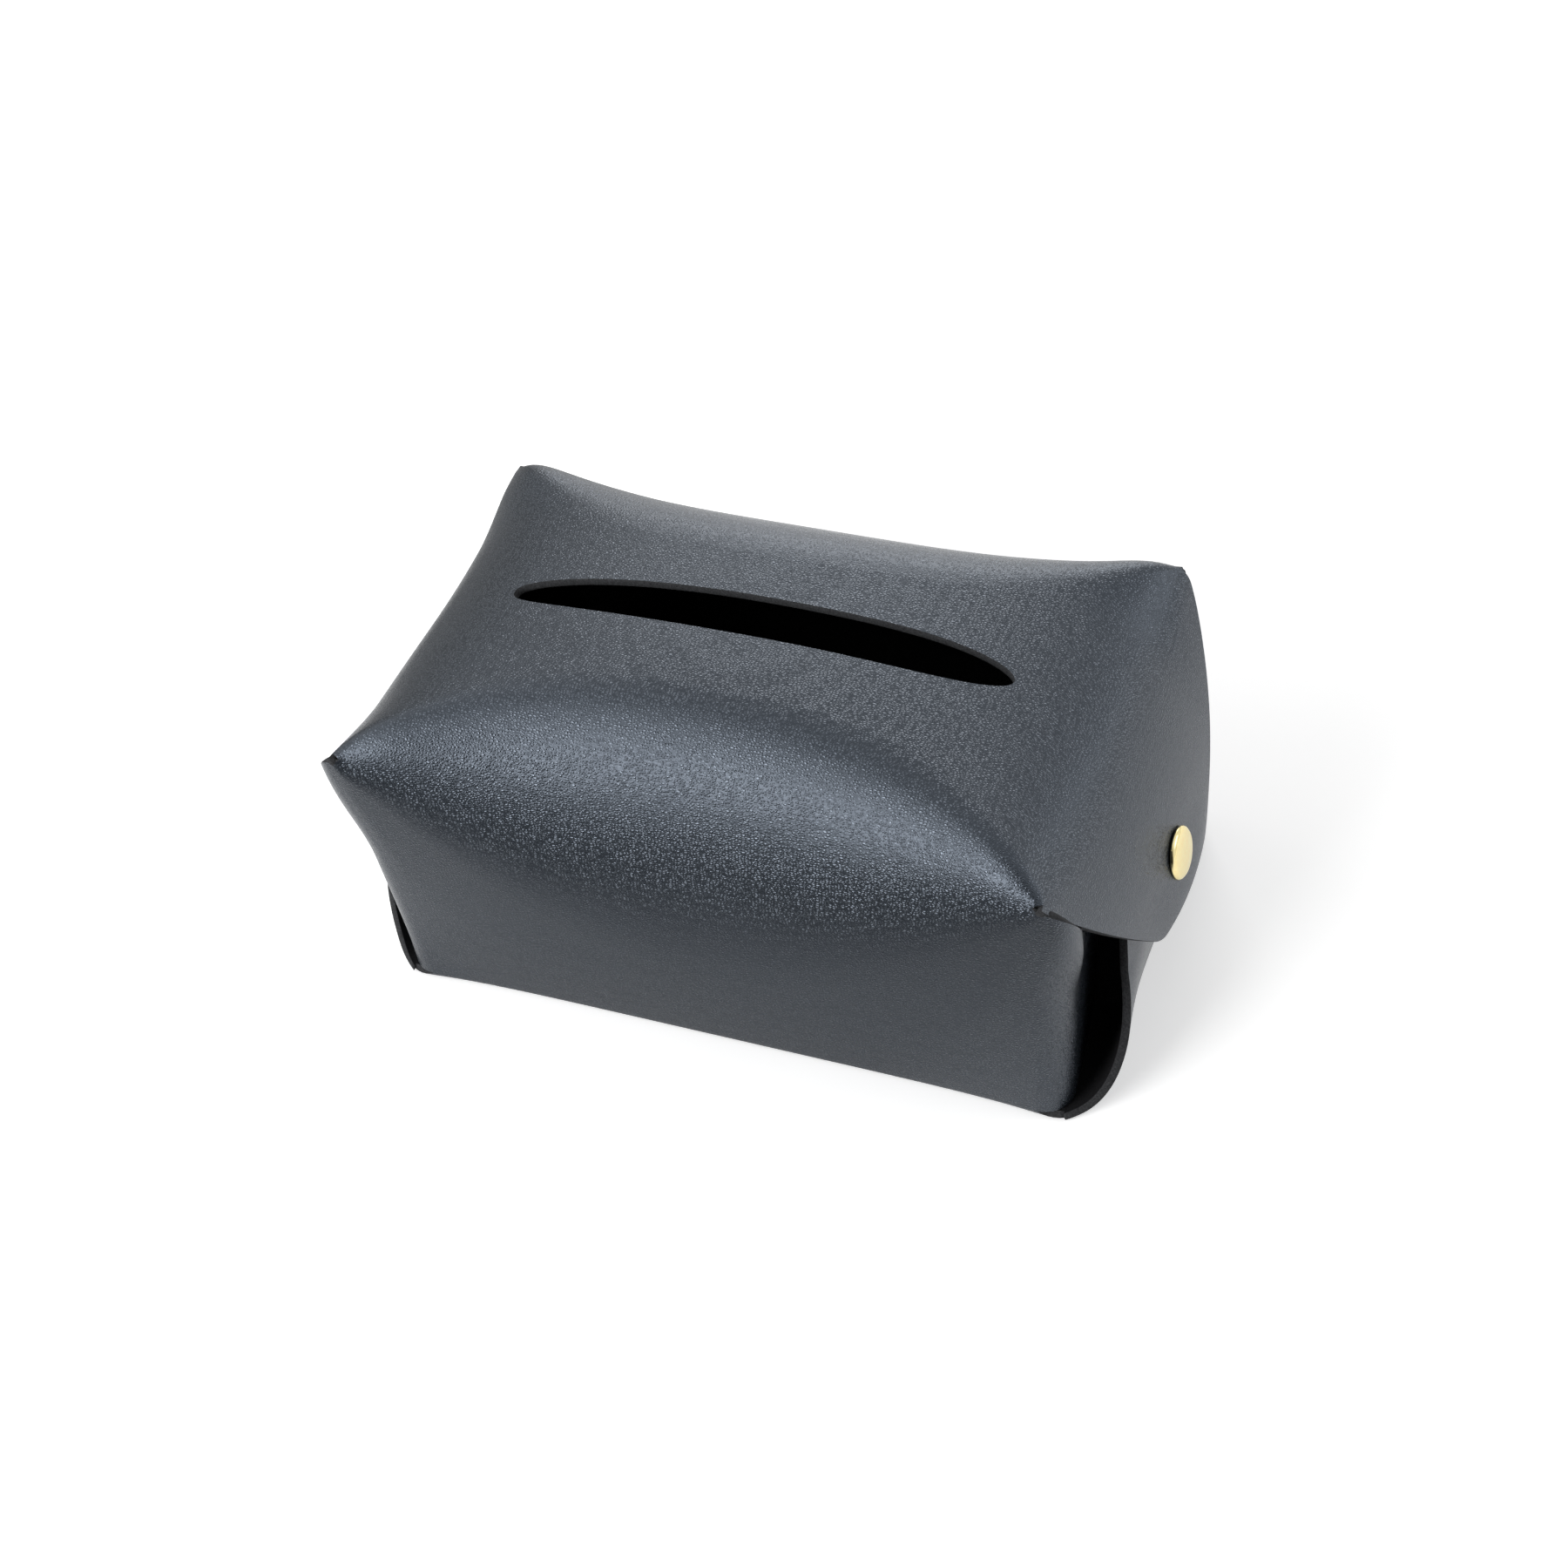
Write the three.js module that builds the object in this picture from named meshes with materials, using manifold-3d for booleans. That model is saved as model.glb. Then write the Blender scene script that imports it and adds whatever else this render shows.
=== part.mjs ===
// A tissue box folded from one sheet of black leather and closed by a snap at each end.
// Millimetres, +Z up, +X along the slit, -Y towards the front. The base rests on z = 0.
import * as THREE from "three";
import { LoftGeometry } from "three/addons/geometries/LoftGeometry.js";
import { mergeGeometries, mergeVertices } from "three/addons/utils/BufferGeometryUtils.js";
import Module from "manifold-3d";

const wasm = await Module();
wasm.setup();

// Driving dimensions

const SHEET = 2.0; // thickness of the leather
const GAP = 0.3; // clearance between pieces that touch

const LENGTH = 176.0; // between the ears, the four points where the cuts between the panels end
const DEPTH = 108.0;
const EAR_Z = 77.3; // height of the ears
const END_LEAN = 1.6; // how far the base's corners stand in from the ears, along the box
const WALL_LEAN = 3.4; // and across it
const EAR_X = LENGTH / 2;
const EAR_Y = DEPTH / 2;
const FOOT_X = EAR_X - END_LEAN;
const FOOT_Y = EAR_Y - WALL_LEAN;

const SHOULDER_RISE = 12.5; // how far the top's long edges rise between two ears
const SHOULDER_POWER = 7; // they rise steeply at the ears and run flat in the middle
const CREST_RISE = 4.2; // the arch's middle line over the long edges, in the middle of the slit
const CREST_Z = EAR_Z + SHOULDER_RISE + CREST_RISE;
const CREST_END_SETBACK = 4.4; // the crest crosses the line between two ears this far in
const CREST_END_RISE = 1.9; // and this far over them
const CREST_END_X = EAR_X - CREST_END_SETBACK;
const CREST_END_Z = EAR_Z + CREST_END_RISE;
const CREST_FLAT = 44.0; // length of the crest's first handle, from the middle
const CREST_TURN = new THREE.Vector2(13.5, -8.6); // the crest's handle where it turns down
const ROLL_MID = 32.0; // how far the soft roll from top to wall reaches, in the middle
const ROLL_EAR = 3.0; // and at the ears, where it is pinched
const ROLL_POWER = 0.8; // below 1 the roll keeps its reach longer towards the ears
const EAR_SETBACK = 3.2; // the roll's end stands back from the ear, clear of the tongue's root
const EAR_SETBACK_POWER = 16;
const HANDLE_SHARE = 0.62; // of that reach, in each handle of the roll's curve
const SEAM_BOW = 0.115; // bows the top's last stations out to the straight fold line between two ears
const SEAM_BOW_POWER = 8; // only the stations near the fold bow
const FOLD_SHARE = 0.22; // of the top's half length, taken by the soft fold to a tongue
const EAR_FOLD_SHARE = 0.035; // the same right at an ear

const TIP_SPREAD = 13.0; // the top tongue's tip stands this far out from the ears
const TIP_X = EAR_X + TIP_SPREAD;
const TIP_Y = 17.9; // half of the tip's width
const TIP_Z = 31.0;
const TIP_BULGE_X = 3.0; // how far the tongue's side edges bow out
const TIP_BULGE_Y = 1.5;
const TIP_HANDLE = new THREE.Vector2(0.7, -22.0); // the crest's handle at the tip
const TIP_RADIUS = 4.0;
const BRANCH_SHARE = 0.62; // length of the second handle over the first one where the crest turns

const SLIT_HALF_LENGTH = 63.0;
const SLIT_HALF_WIDTH = 7.5;
const SLIT_BLUNTNESS_SHARE = 0.7;

const CORNER_RADIUS = 3.0; // outside radius of the upright fold from wall to side flap
const CORNER_SPREAD = 0.4; // the upright fold's line ends this far outside the ear
const CORNER_TOP_X = EAR_X + CORNER_SPREAD;
const FLAP_WIDTH = 27.0;
const FOLD_TOP_DROP = 4.3; // the upright fold ends this far under the ear
const FOLD_TOP_Z = EAR_Z - FOLD_TOP_DROP;
const FLAP_TOP_STEP = 3.0; // the flap starts this much lower
const FLAP_TOP_Z = FOLD_TOP_Z - FLAP_TOP_STEP;
const FLAP_TOP_DROP = 14.0; // the flap's top edge falls this much towards its free edge
const FLAP_ROOT_RISE = 2.0; // its lower edge stands this high over the base at the fold
const FLAP_EDGE_RISE = 5.0; // and this high at its free edge
const FLAP_LEAN = THREE.MathUtils.degToRad(8); // past square, into the box

const HEEL_LENGTH = 8.0; // of the base turned up before the lower tongue starts to swing
const LOWER_TOP_Z = 52.0;
const LOWER_STRAIGHT_Z = 33.0; // above this the lower tongue is straight
const LOWER_TIP_SPREAD = 0.6; // the lower tongue's tip is this much wider, each side, than the top one's
const LOWER_TIP_Y = TIP_Y + LOWER_TIP_SPREAD;
const LOWER_TAPER_POWER = 1.25; // above 1 the tongue narrows faster near the base
const LOWER_TIP_RADIUS = 6.0;
const LOWER_FOOT_HANDLE = new THREE.Vector2(7.9, 1.0);
const LOWER_RISE_HANDLE = 19.0;
const FRONT_FLARE = 2.4; // how far the lower tongue's front edge stands out from its middle
const BACK_FLARE = -0.8; // and its back edge
const FLARE_SHARE = 0.62; // of the tongue's length over which its edges stand out

const SEAM_FLAP_HEIGHT = 28.0; // closing strip of the base, glued inside the back wall
const SEAM_FLAP_END_GAP = 12.0; // it stops this far short of the ears
const SEAM_FLAP_HALF_LENGTH = EAR_X - SEAM_FLAP_END_GAP;

const SNAP_Z = 42.2; // height of the snap's centre on the tongue's face
const CAP_RADIUS = 6.5;
const CAP_FACE_RADIUS = 5.3;
const CAP_HEIGHT = 1.9;
const CAP_DOME = 0.35;
const CAP_EDGE = 0.7;
const SHANK_RADIUS = 2.1;
const SHANK_REACH = 0.6; // the cap's shank stands this far into the socket
const SOCKET_RADIUS = 5.2;
const SOCKET_LIP_RADIUS = 4.4;
const SOCKET_HEIGHT = 1.9;
const SOCKET_STEP = 0.6;
const KNOB_RADIUS = 1.95;
const KNOB_HEIGHT = 0.9;
const STUD_RADIUS = 4.6;
const STUD_BASE = 0.6;
const POST_RADIUS = 0.9;
const POST_HEAD_RADIUS = 4.0;
const POST_HEAD = 0.7;
const BEDDING = 0.5; // between a metal flange and the curved leather

const TOP_STATIONS = 30;
const TOP_ACROSS = 10; // points across each half of the top
const ROLL_ACROSS = 6;
const TONGUE_STATIONS = 13;
const TONGUE_ACROSS = 16;
const LOWER_STATIONS = 14;
const LOWER_ACROSS = 10;
const HEEL_STATIONS = 4;
const WALL_STATIONS = 20;
const WALL_ROWS = 3;
const CORNER_STATIONS = 5;
const FLAP_STATIONS = 3;
const TURNED_SEGMENTS = 20;
const ARCH_POWER = 2.0;
const STEP = 1e-3; // step for the slopes of a surface
const MERGE_DISTANCE = 1e-5;

const LEATHER = new THREE.MeshStandardMaterial({ color: 0x23262b, roughness: 0.48, metalness: 0.0 });
const GOLD = new THREE.MeshStandardMaterial({ color: 0xd9b45a, roughness: 0.18, metalness: 1.0 });

// The crest: the middle line of the top, over the end and down to the tip of a tongue

const crestEnd = new THREE.Vector2(CREST_END_X, CREST_END_Z);
const crestTip = new THREE.Vector2(TIP_X, TIP_Z);
const topCrest = new THREE.CubicBezierCurve(
  new THREE.Vector2(0, CREST_Z),
  new THREE.Vector2(CREST_FLAT, CREST_Z),
  crestEnd.clone().sub(CREST_TURN),
  crestEnd,
);
const tongueCrest = new THREE.CubicBezierCurve(
  crestEnd,
  crestEnd.clone().addScaledVector(CREST_TURN, BRANCH_SHARE),
  crestTip.clone().sub(TIP_HANDLE),
  crestTip,
);

// Station s runs 0 at the middle, 1 at the line between two ears, 2 at the tip.
function crestAt(s) {
  return s <= 1 ? topCrest.getPoint(Math.max(s, 0)) : tongueCrest.getPoint(Math.min(s - 1, 1));
}

// The long edge of the top up to the ear, then the free edge of the tongue.
// Away from the edge (b nearer 0) the turn at the ear is softened over a wider stretch.
function edgeAt(s, b) {
  const soft = FOLD_SHARE * Math.max(1 - b * b, 0) + EAR_FOLD_SHARE;
  const past = s - 1;
  let down = Math.max(past, 0);
  if (Math.abs(past) < soft) down = (past + soft) ** 2 / (4 * soft);
  const along = s - down;
  const bow = Math.sin(Math.PI * THREE.MathUtils.clamp(down, 0, 1));
  return new THREE.Vector3(
    EAR_X * along + (TIP_X - EAR_X) * down + TIP_BULGE_X * bow,
    EAR_Y + (TIP_Y - EAR_Y) * down + TIP_BULGE_Y * bow,
    EAR_Z + SHOULDER_RISE * (1 - along ** SHOULDER_POWER) + (TIP_Z - EAR_Z) * down,
  );
}

// The arched surface between the two long edges, b from -1 at the front to 1 at the back.
function archPoint(s, b) {
  const edge = edgeAt(s, b);
  const crest = crestAt(s);
  const lift = 1 - Math.abs(b) ** ARCH_POWER;
  return new THREE.Vector3(
    THREE.MathUtils.lerp(edge.x, crest.x, lift),
    edge.y * b,
    THREE.MathUtils.lerp(edge.z, crest.y, lift),
  );
}

// The top's arch: its end stations run on to the straight fold line between two ears.
function topArch(s, b) {
  return archPoint(s + SEAM_BOW * (1 - b * b) * s ** SEAM_BOW_POWER, b);
}

function rollReach(s) {
  return ROLL_EAR + (ROLL_MID - ROLL_EAR) * Math.max(1 - s * s, 0) ** ROLL_POWER;
}

// Where the front wall ends and its soft roll to the top starts
function rollFrame(s) {
  const edge = edgeAt(s, 1);
  const shoulder = new THREE.Vector3(edge.x, -edge.y, edge.z);
  const foot = new THREE.Vector3(FOOT_X * s, -FOOT_Y, 0);
  const up = shoulder.clone().sub(foot).normalize();
  const reach = rollReach(s);
  const start = shoulder.clone().addScaledVector(up, -reach);
  const landing = reach / EAR_Y - 1;
  return { up, reach, start, landing };
}

// One point of the top with its rolls: k = 0 at the front roll's foot, 1 at the back's.
const rollShare = ROLL_ACROSS / (2 * (ROLL_ACROSS + TOP_ACROSS));
function topPoint(station, k) {
  const s = Math.abs(station);
  const half = Math.min(k, 1 - k);
  const { up, reach, start, landing } = rollFrame(s);
  let point;
  if (half >= rollShare) {
    const inward = (half - rollShare) / (0.5 - rollShare);
    point = topArch(s, THREE.MathUtils.lerp(landing, 0, inward));
  } else {
    const end = topArch(s, landing);
    const before = topArch(s, landing - STEP);
    const slope = end.clone().sub(before).normalize();
    const roll = new THREE.CubicBezierCurve3(
      start,
      start.clone().addScaledVector(up, reach * HANDLE_SHARE),
      end.clone().addScaledVector(slope, -reach * HANDLE_SHARE),
      end,
    );
    point = roll.getPoint(half / rollShare);
    point.x -= EAR_SETBACK * (1 - half / rollShare) * s ** EAR_SETBACK_POWER;
  }
  point.x *= Math.sign(station) || 1;
  if (k > 0.5) point.y *= -1;
  return point;
}

// Solids of sheet: a surface of outer points, with the inner face one thickness behind it

function acrossSurface(surface, u, v) {
  const du = surface(u + STEP, v).sub(surface(u - STEP, v));
  const dv = surface(u, v + STEP).sub(surface(u, v - STEP));
  return du.cross(dv).normalize();
}

function signedVolume(geometry) {
  const place = geometry.getAttribute("position");
  const index = geometry.getIndex();
  const corner = [new THREE.Vector3(), new THREE.Vector3(), new THREE.Vector3()];
  let volume = 0;
  for (let i = 0; i < index.count; i += 3) {
    corner.forEach((point, j) => point.fromBufferAttribute(place, index.getX(i + j)));
    volume += corner[0].dot(corner[1].cross(corner[2]));
  }
  return volume;
}

// A row holds the outer and inner points of the sheet along one line across it.
// The rows are lofted into a closed skin, and a narrow strip closes each end.
function sheetLoft(rows) {
  const first = rows.at(0);
  const last = rows.at(-1);
  const skin = new LoftGeometry(rows.map(({ outer, inner }) => outer.concat(inner.slice().reverse())));
  const startEdge = new LoftGeometry([first.inner, first.outer], { closed: false });
  const endEdge = new LoftGeometry([last.outer, last.inner], { closed: false });
  const geometry = mergeGeometries([skin, startEdge, endEdge]);
  return signedVolume(geometry) > 0 ? geometry : sheetLoft(rows.slice().reverse());
}

// The inner face lies one thickness behind the outer one, on the side of the point `inside`.
function sheetRow(surface, u, vs, inside) {
  const outer = vs.map((v) => surface(u, v));
  const inner = vs.map((v, i) => {
    const normal = acrossSurface(surface, u, v);
    const facing = inside(outer[i]).sub(outer[i]).dot(normal) < 0 ? -SHEET : SHEET;
    return outer[i].clone().addScaledVector(normal, facing);
  });
  return { outer, inner };
}

function mirrored({ outer, inner }, x, y) {
  const signs = new THREE.Vector3(x, y, 1);
  const turn = (points) => points.map((point) => point.multiply(signs));
  return { outer: turn(outer), inner: turn(inner) };
}

function sheetSolid(surface, us, vs, inside) {
  return sheetLoft(us.map((u) => sheetRow(surface, u, vs, inside)));
}

function steps(from, to, count) {
  return Array.from({ length: count + 1 }, (_, i) => THREE.MathUtils.lerp(from, to, i / count));
}

// Cutting

function toSolid(geometry) {
  const bare = new THREE.BufferGeometry();
  bare.setAttribute("position", geometry.getAttribute("position"));
  bare.setIndex(geometry.getIndex());
  const merged = mergeVertices(bare, MERGE_DISTANCE);
  return new wasm.Manifold(new wasm.Mesh({
    numProp: 3,
    vertProperties: merged.getAttribute("position").array,
    triVerts: Uint32Array.from(merged.getIndex().array),
  }));
}

function toGeometry(solid) {
  const mesh = solid.getMesh();
  const geometry = new THREE.BufferGeometry();
  geometry.setAttribute("position", new THREE.BufferAttribute(Float32Array.from(mesh.vertProperties), 3));
  geometry.setIndex(new THREE.BufferAttribute(Uint32Array.from(mesh.triVerts), 1));
  geometry.computeVertexNormals();
  return geometry;
}

function cut(geometry, tool) {
  return toGeometry(toSolid(geometry).subtract(toSolid(tool)));
}

const HEART = new THREE.Vector3(0, 0, EAR_Z / 2); // a point well inside the box
const towardsHeart = () => HEART.clone();
const towardsFloorOfTop = (point) => new THREE.Vector3(point.x / 2, point.y / 2, point.z - EAR_Z);

// The top with its lens-shaped slit

function slitTool() {
  const lip = (x) => SLIT_HALF_WIDTH * (1 - (x / SLIT_HALF_LENGTH) ** 2) ** SLIT_BLUNTNESS_SHARE;
  const xs = steps(-1, 1, TOP_STATIONS).map((t) => SLIT_HALF_LENGTH * Math.sin((t * Math.PI) / 2));
  const front = xs.map((x) => new THREE.Vector2(x, -lip(x)));
  const back = xs.slice(1, -1).reverse().map((x) => new THREE.Vector2(x, lip(x)));
  const tool = new THREE.ExtrudeGeometry(new THREE.Shape(front.concat(back)), {
    depth: CREST_Z,
    bevelEnabled: false,
  });
  tool.translate(0, 0, CREST_Z / 2);
  return tool;
}

const topSections = steps(-1, 1, TOP_STATIONS).map((t) => Math.sin((t * Math.PI) / 2));
const topAcross = steps(0, 1, 2 * (ROLL_ACROSS + TOP_ACROSS));
const topPanel = cut(sheetSolid(topPoint, topSections, topAcross, towardsFloorOfTop), slitTool());

// Top tongue, a body of its own that swings on the line between two ears

function tongueHalfShare(s) {
  const left = (2 - s) * (EAR_Z - TIP_Z);
  const missing = TIP_RADIUS - Math.sqrt(Math.max(TIP_RADIUS ** 2 - Math.max(TIP_RADIUS - left, 0) ** 2, 0));
  return 1 - missing / TIP_Y;
}

function tonguePoint(s, b) {
  const across = b * tongueHalfShare(s);
  return archPoint(s + SEAM_BOW * (1 - across * across) * (2 - s), across);
}
const tongueStart = 1 + GAP / (EAR_Z - TIP_Z);
const tongueSections = steps(0, 1, TONGUE_STATIONS).map(
  (t) => THREE.MathUtils.lerp(tongueStart, 2, Math.sin((t * Math.PI) / 2)),
);
const insideOfTongue = (point) => new THREE.Vector3(0, 0, point.z - EAR_Z / 4);
const tongueRows = (end) => tongueSections.map((s) => {
  return mirrored(sheetRow(tonguePoint, s, steps(-1, 1, TONGUE_ACROSS), insideOfTongue), end, 1);
});

// The snap's place and direction on the tongue's middle line

function snapStation() {
  let low = 1;
  let high = 2;
  while (high - low > STEP * STEP) {
    const middle = (low + high) / 2;
    if (crestAt(middle).y > SNAP_Z) low = middle;
    else high = middle;
  }
  return low;
}
const snapAt = snapStation();
const snapFace = crestAt(snapAt);
const snapDown = tongueCrest.getTangent(snapAt - 1);
const snapOut = new THREE.Vector2(-snapDown.y, snapDown.x);
const snapTilt = Math.atan2(snapOut.y, snapOut.x);

// Depths along the snap's axis, 0 on the tongue's outer face, negative inwards
const socketTop = -SHEET - GAP;
const socketEnd = socketTop - SOCKET_HEIGHT;
const studTop = socketEnd - GAP;
const knobTop = studTop + KNOB_HEIGHT;
const studEnd = studTop - STUD_BASE;
const lowerFace = studEnd - BEDDING;
const headTop = lowerFace - SHEET - BEDDING;

// Lower tongue: the base turned up outside the side flaps and under the top tongue

const lowerFoot = new THREE.Vector2(FOOT_X, 0);
const lowerSnap = snapFace.clone().addScaledVector(snapOut, lowerFace);
const upSlope = snapDown.clone().divideScalar(snapDown.y);
const lowerStraight = lowerSnap.clone().addScaledVector(upSlope, LOWER_STRAIGHT_Z - lowerSnap.y);
const lowerTip = lowerSnap.clone().addScaledVector(upSlope, LOWER_TOP_Z - lowerSnap.y);
const lowerPath = new THREE.CurvePath();
lowerPath.add(new THREE.CubicBezierCurve(
  lowerFoot,
  lowerFoot.clone().add(LOWER_FOOT_HANDLE),
  lowerStraight.clone().addScaledVector(upSlope, -LOWER_RISE_HANDLE),
  lowerStraight,
));
lowerPath.add(new THREE.LineCurve(lowerStraight, lowerTip));
const lowerLength = lowerPath.getLength();

// q runs from 0 at the base's edge to 1 at the tongue's tip, b across from -1 to 1.
function lowerPoint(q, b) {
  const inside = THREE.MathUtils.clamp(q, 0, 1);
  const middle = lowerPath.getPointAt(inside);
  const slope = lowerPath.getTangentAt(inside);
  middle.addScaledVector(slope, (q - inside) * lowerLength);
  const flare = (b < 0 ? FRONT_FLARE : BACK_FLARE) * Math.sin(Math.PI * Math.min(q / FLARE_SHARE, 1));
  const left = (1 - q) * lowerLength;
  const short = Math.max(LOWER_TIP_RADIUS - left, 0);
  const missing = LOWER_TIP_RADIUS - Math.sqrt(Math.max(LOWER_TIP_RADIUS ** 2 - short ** 2, 0));
  const half = LOWER_TIP_Y + (FOOT_Y - LOWER_TIP_Y) * Math.max(1 - q, 0) ** LOWER_TAPER_POWER - missing;
  return new THREE.Vector3(middle.x + flare * b * b, half * b, middle.y);
}

const insideOfLower = (point) => new THREE.Vector3(0, point.y, EAR_Z / 2);
const lowerStart = (HEEL_LENGTH + GAP) / lowerLength;
const lowerSections = steps(0, 1, LOWER_STATIONS).map(
  (t) => THREE.MathUtils.lerp(lowerStart, 1, Math.sin((t * Math.PI) / 2)),
);
const lowerRows = (end) => lowerSections.map((q) => {
  return mirrored(sheetRow(lowerPoint, q, steps(-1, 1, LOWER_ACROSS), insideOfLower), end, 1);
});

// Base with a turned-up heel at each end, lofted along the box

function baseSections() {
  const heel = steps(HEEL_LENGTH / lowerLength, 0, HEEL_STATIONS);
  const across = steps(-1, 1, LOWER_ACROSS);
  const row = (q, side) => mirrored(sheetRow(lowerPoint, q, across, insideOfLower), side, 1);
  const left = heel.map((q) => row(q, -1));
  const right = heel.map((q) => row(q, 1)).reverse();
  return left.concat(right);
}
const basePanel = sheetLoft(baseSections());

// Walls: sheet that stands between the base and the top's rolls, with the upright folds at its ends

const cornerFoot = new THREE.Vector2(FOOT_X - GAP, FOOT_Y);
const cornerEar = new THREE.Vector2(CORNER_TOP_X, EAR_Y);
const cornerTurn = Math.PI / 2;

// Plan position of the upright fold's sharp corner at a height
function cornerAt(z) {
  return cornerFoot.clone().lerp(cornerEar, z / EAR_Z);
}

// Distance of the wall's outer face from the middle plane, at a share s of the box's half length
function wallFace(s, z) {
  const shoulder = edgeAt(Math.min(s, 1), 1).z;
  return THREE.MathUtils.lerp(FOOT_Y, EAR_Y, z / shoulder);
}

// The outer face of the wall in plan: t from -1 to 1 on the flat part, then round the fold.
function wallPoint(t, z) {
  const corner = cornerAt(z);
  const flat = corner.x - CORNER_RADIUS;
  const side = Math.sign(t) || 1;
  const reach = Math.abs(t);
  const face = wallFace((Math.min(reach, 1) * flat) / EAR_X, z);
  if (reach <= 1) return new THREE.Vector3(t * flat, -face, z);
  const turn = (reach - 1) * cornerTurn;
  return new THREE.Vector3(
    side * (flat + CORNER_RADIUS * Math.sin(turn)),
    -face + CORNER_RADIUS * (1 - Math.cos(turn)),
    z,
  );
}

// Height of the wall's top edge: just under the roll, or under the ear round the fold
function wallTop(t) {
  const reach = Math.abs(t);
  if (reach > 1) return THREE.MathUtils.lerp(FOLD_TOP_Z, FLAP_TOP_Z, reach - 1);
  const s = Math.abs(wallPoint(t, EAR_Z).x) / EAR_X;
  return Math.min(rollFrame(s).start.z - GAP, FOLD_TOP_Z);
}

function wallSolid(side) {
  const base = SHEET + GAP;
  const turned = steps(1, 2, CORNER_STATIONS).slice(1);
  const ts = turned.map((t) => -t).reverse().concat(steps(-1, 1, WALL_STATIONS), turned);
  const rows = ts.map((t) => sheetRow(wallPoint, t, steps(base, wallTop(t), WALL_ROWS), towardsHeart));
  return sheetLoft(rows.map((row) => mirrored(row, 1, side)));
}

// Side flap: the wall's sheet going on past the upright fold, across the end of the box
function flapSolid(side, end) {
  const rows = steps(0, 1, FLAP_STATIONS).map((w) => {
    const low = SHEET + GAP + THREE.MathUtils.lerp(FLAP_ROOT_RISE, FLAP_EDGE_RISE, w);
    const high = FLAP_TOP_Z - FLAP_TOP_DROP * w;
    const heights = steps(low, high, WALL_ROWS);
    const direction = new THREE.Vector2(-Math.sin(FLAP_LEAN), Math.cos(FLAP_LEAN));
    const face = (z, depth) => {
      const root = wallPoint(2, z);
      const x = root.x + direction.x * w * FLAP_WIDTH - direction.y * depth;
      const y = root.y + GAP + direction.y * w * FLAP_WIDTH + direction.x * depth;
      return new THREE.Vector3(x * end, y * side, z);
    };
    return { outer: heights.map((z) => face(z, 0)), inner: heights.map((z) => face(z, SHEET)) };
  });
  return sheetLoft(rows);
}

// Closing strip of the base, up the inside of the back wall
function seamFlapSolid() {
  const heights = steps(SHEET + GAP, SEAM_FLAP_HEIGHT, 1);
  const rows = steps(-SEAM_FLAP_HALF_LENGTH, SEAM_FLAP_HALF_LENGTH, 1).map((x) => {
    const face = (z, depth) => new THREE.Vector3(x, wallFace(0, z) - SHEET - GAP - depth, z);
    return { outer: heights.map((z) => face(z, 0)), inner: heights.map((z) => face(z, SHEET)) };
  });
  return sheetLoft(rows);
}

// Snap pieces are turned about the snap's axis: points are radius and depth.

function turned(points) {
  return new THREE.LatheGeometry(points.map(([r, depth]) => new THREE.Vector2(r, depth)), TURNED_SEGMENTS);
}

const holeRadius = SHANK_RADIUS + GAP;
const postHoleRadius = POST_RADIUS + GAP;

const capShape = turned([
  [0, socketTop - SHANK_REACH],
  [SHANK_RADIUS, socketTop - SHANK_REACH],
  [SHANK_RADIUS, GAP],
  [CAP_RADIUS - CAP_DOME, GAP],
  [CAP_RADIUS, CAP_EDGE],
  [CAP_RADIUS - CAP_DOME, CAP_HEIGHT - CAP_DOME * 2],
  [CAP_FACE_RADIUS, CAP_HEIGHT - CAP_DOME],
  [CAP_FACE_RADIUS / 2, CAP_HEIGHT - CAP_DOME / 4],
  [0, CAP_HEIGHT],
]);
const socketShape = turned([
  [holeRadius, socketTop],
  [holeRadius, socketEnd],
  [SOCKET_LIP_RADIUS, socketEnd],
  [SOCKET_RADIUS, socketTop - SOCKET_STEP],
  [SOCKET_RADIUS, socketTop],
  [holeRadius, socketTop],
]);
const studShape = turned([
  [postHoleRadius, studEnd],
  [STUD_RADIUS, studEnd],
  [STUD_RADIUS, studTop],
  [KNOB_RADIUS, studTop],
  [KNOB_RADIUS, knobTop],
  [postHoleRadius, knobTop],
  [postHoleRadius, studEnd],
]);
const postShape = turned([
  [0, headTop - POST_HEAD],
  [POST_HEAD_RADIUS - POST_HEAD / 2, headTop - POST_HEAD],
  [POST_HEAD_RADIUS, headTop],
  [POST_RADIUS, headTop],
  [POST_RADIUS, studTop],
  [0, studTop],
]);

// Puts a turned piece, made along +Y, on the snap's axis at one end (1 right, -1 left).
function onSnapAxis(object, end) {
  object.rotation.set(0, 0, -Math.PI / 2);
  const carrier = new THREE.Group();
  carrier.position.set(snapFace.x * end, 0, snapFace.y);
  carrier.rotation.y = end > 0 ? -snapTilt : Math.PI + snapTilt;
  carrier.add(object);
  return carrier;
}

function holeTool(radius, end) {
  const rod = new THREE.CylinderGeometry(radius, radius, EAR_Z / 2, TURNED_SEGMENTS);
  const mesh = new THREE.Mesh(rod);
  onSnapAxis(mesh, end).updateMatrixWorld(true);
  return rod.applyMatrix4(mesh.matrixWorld);
}

// Assembly

function piece(name, geometry, material) {
  const mesh = new THREE.Mesh(geometry, material.clone());
  mesh.name = name;
  return mesh;
}

const tissueBox = new THREE.Group();
tissueBox.add(
  piece("top_panel", topPanel, LEATHER),
  piece("front_wall", wallSolid(1), LEATHER),
  piece("back_wall", wallSolid(-1), LEATHER),
  piece("bottom_panel", basePanel, LEATHER),
  piece("rear_seam_flap", seamFlapSolid(), LEATHER),
);

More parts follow.
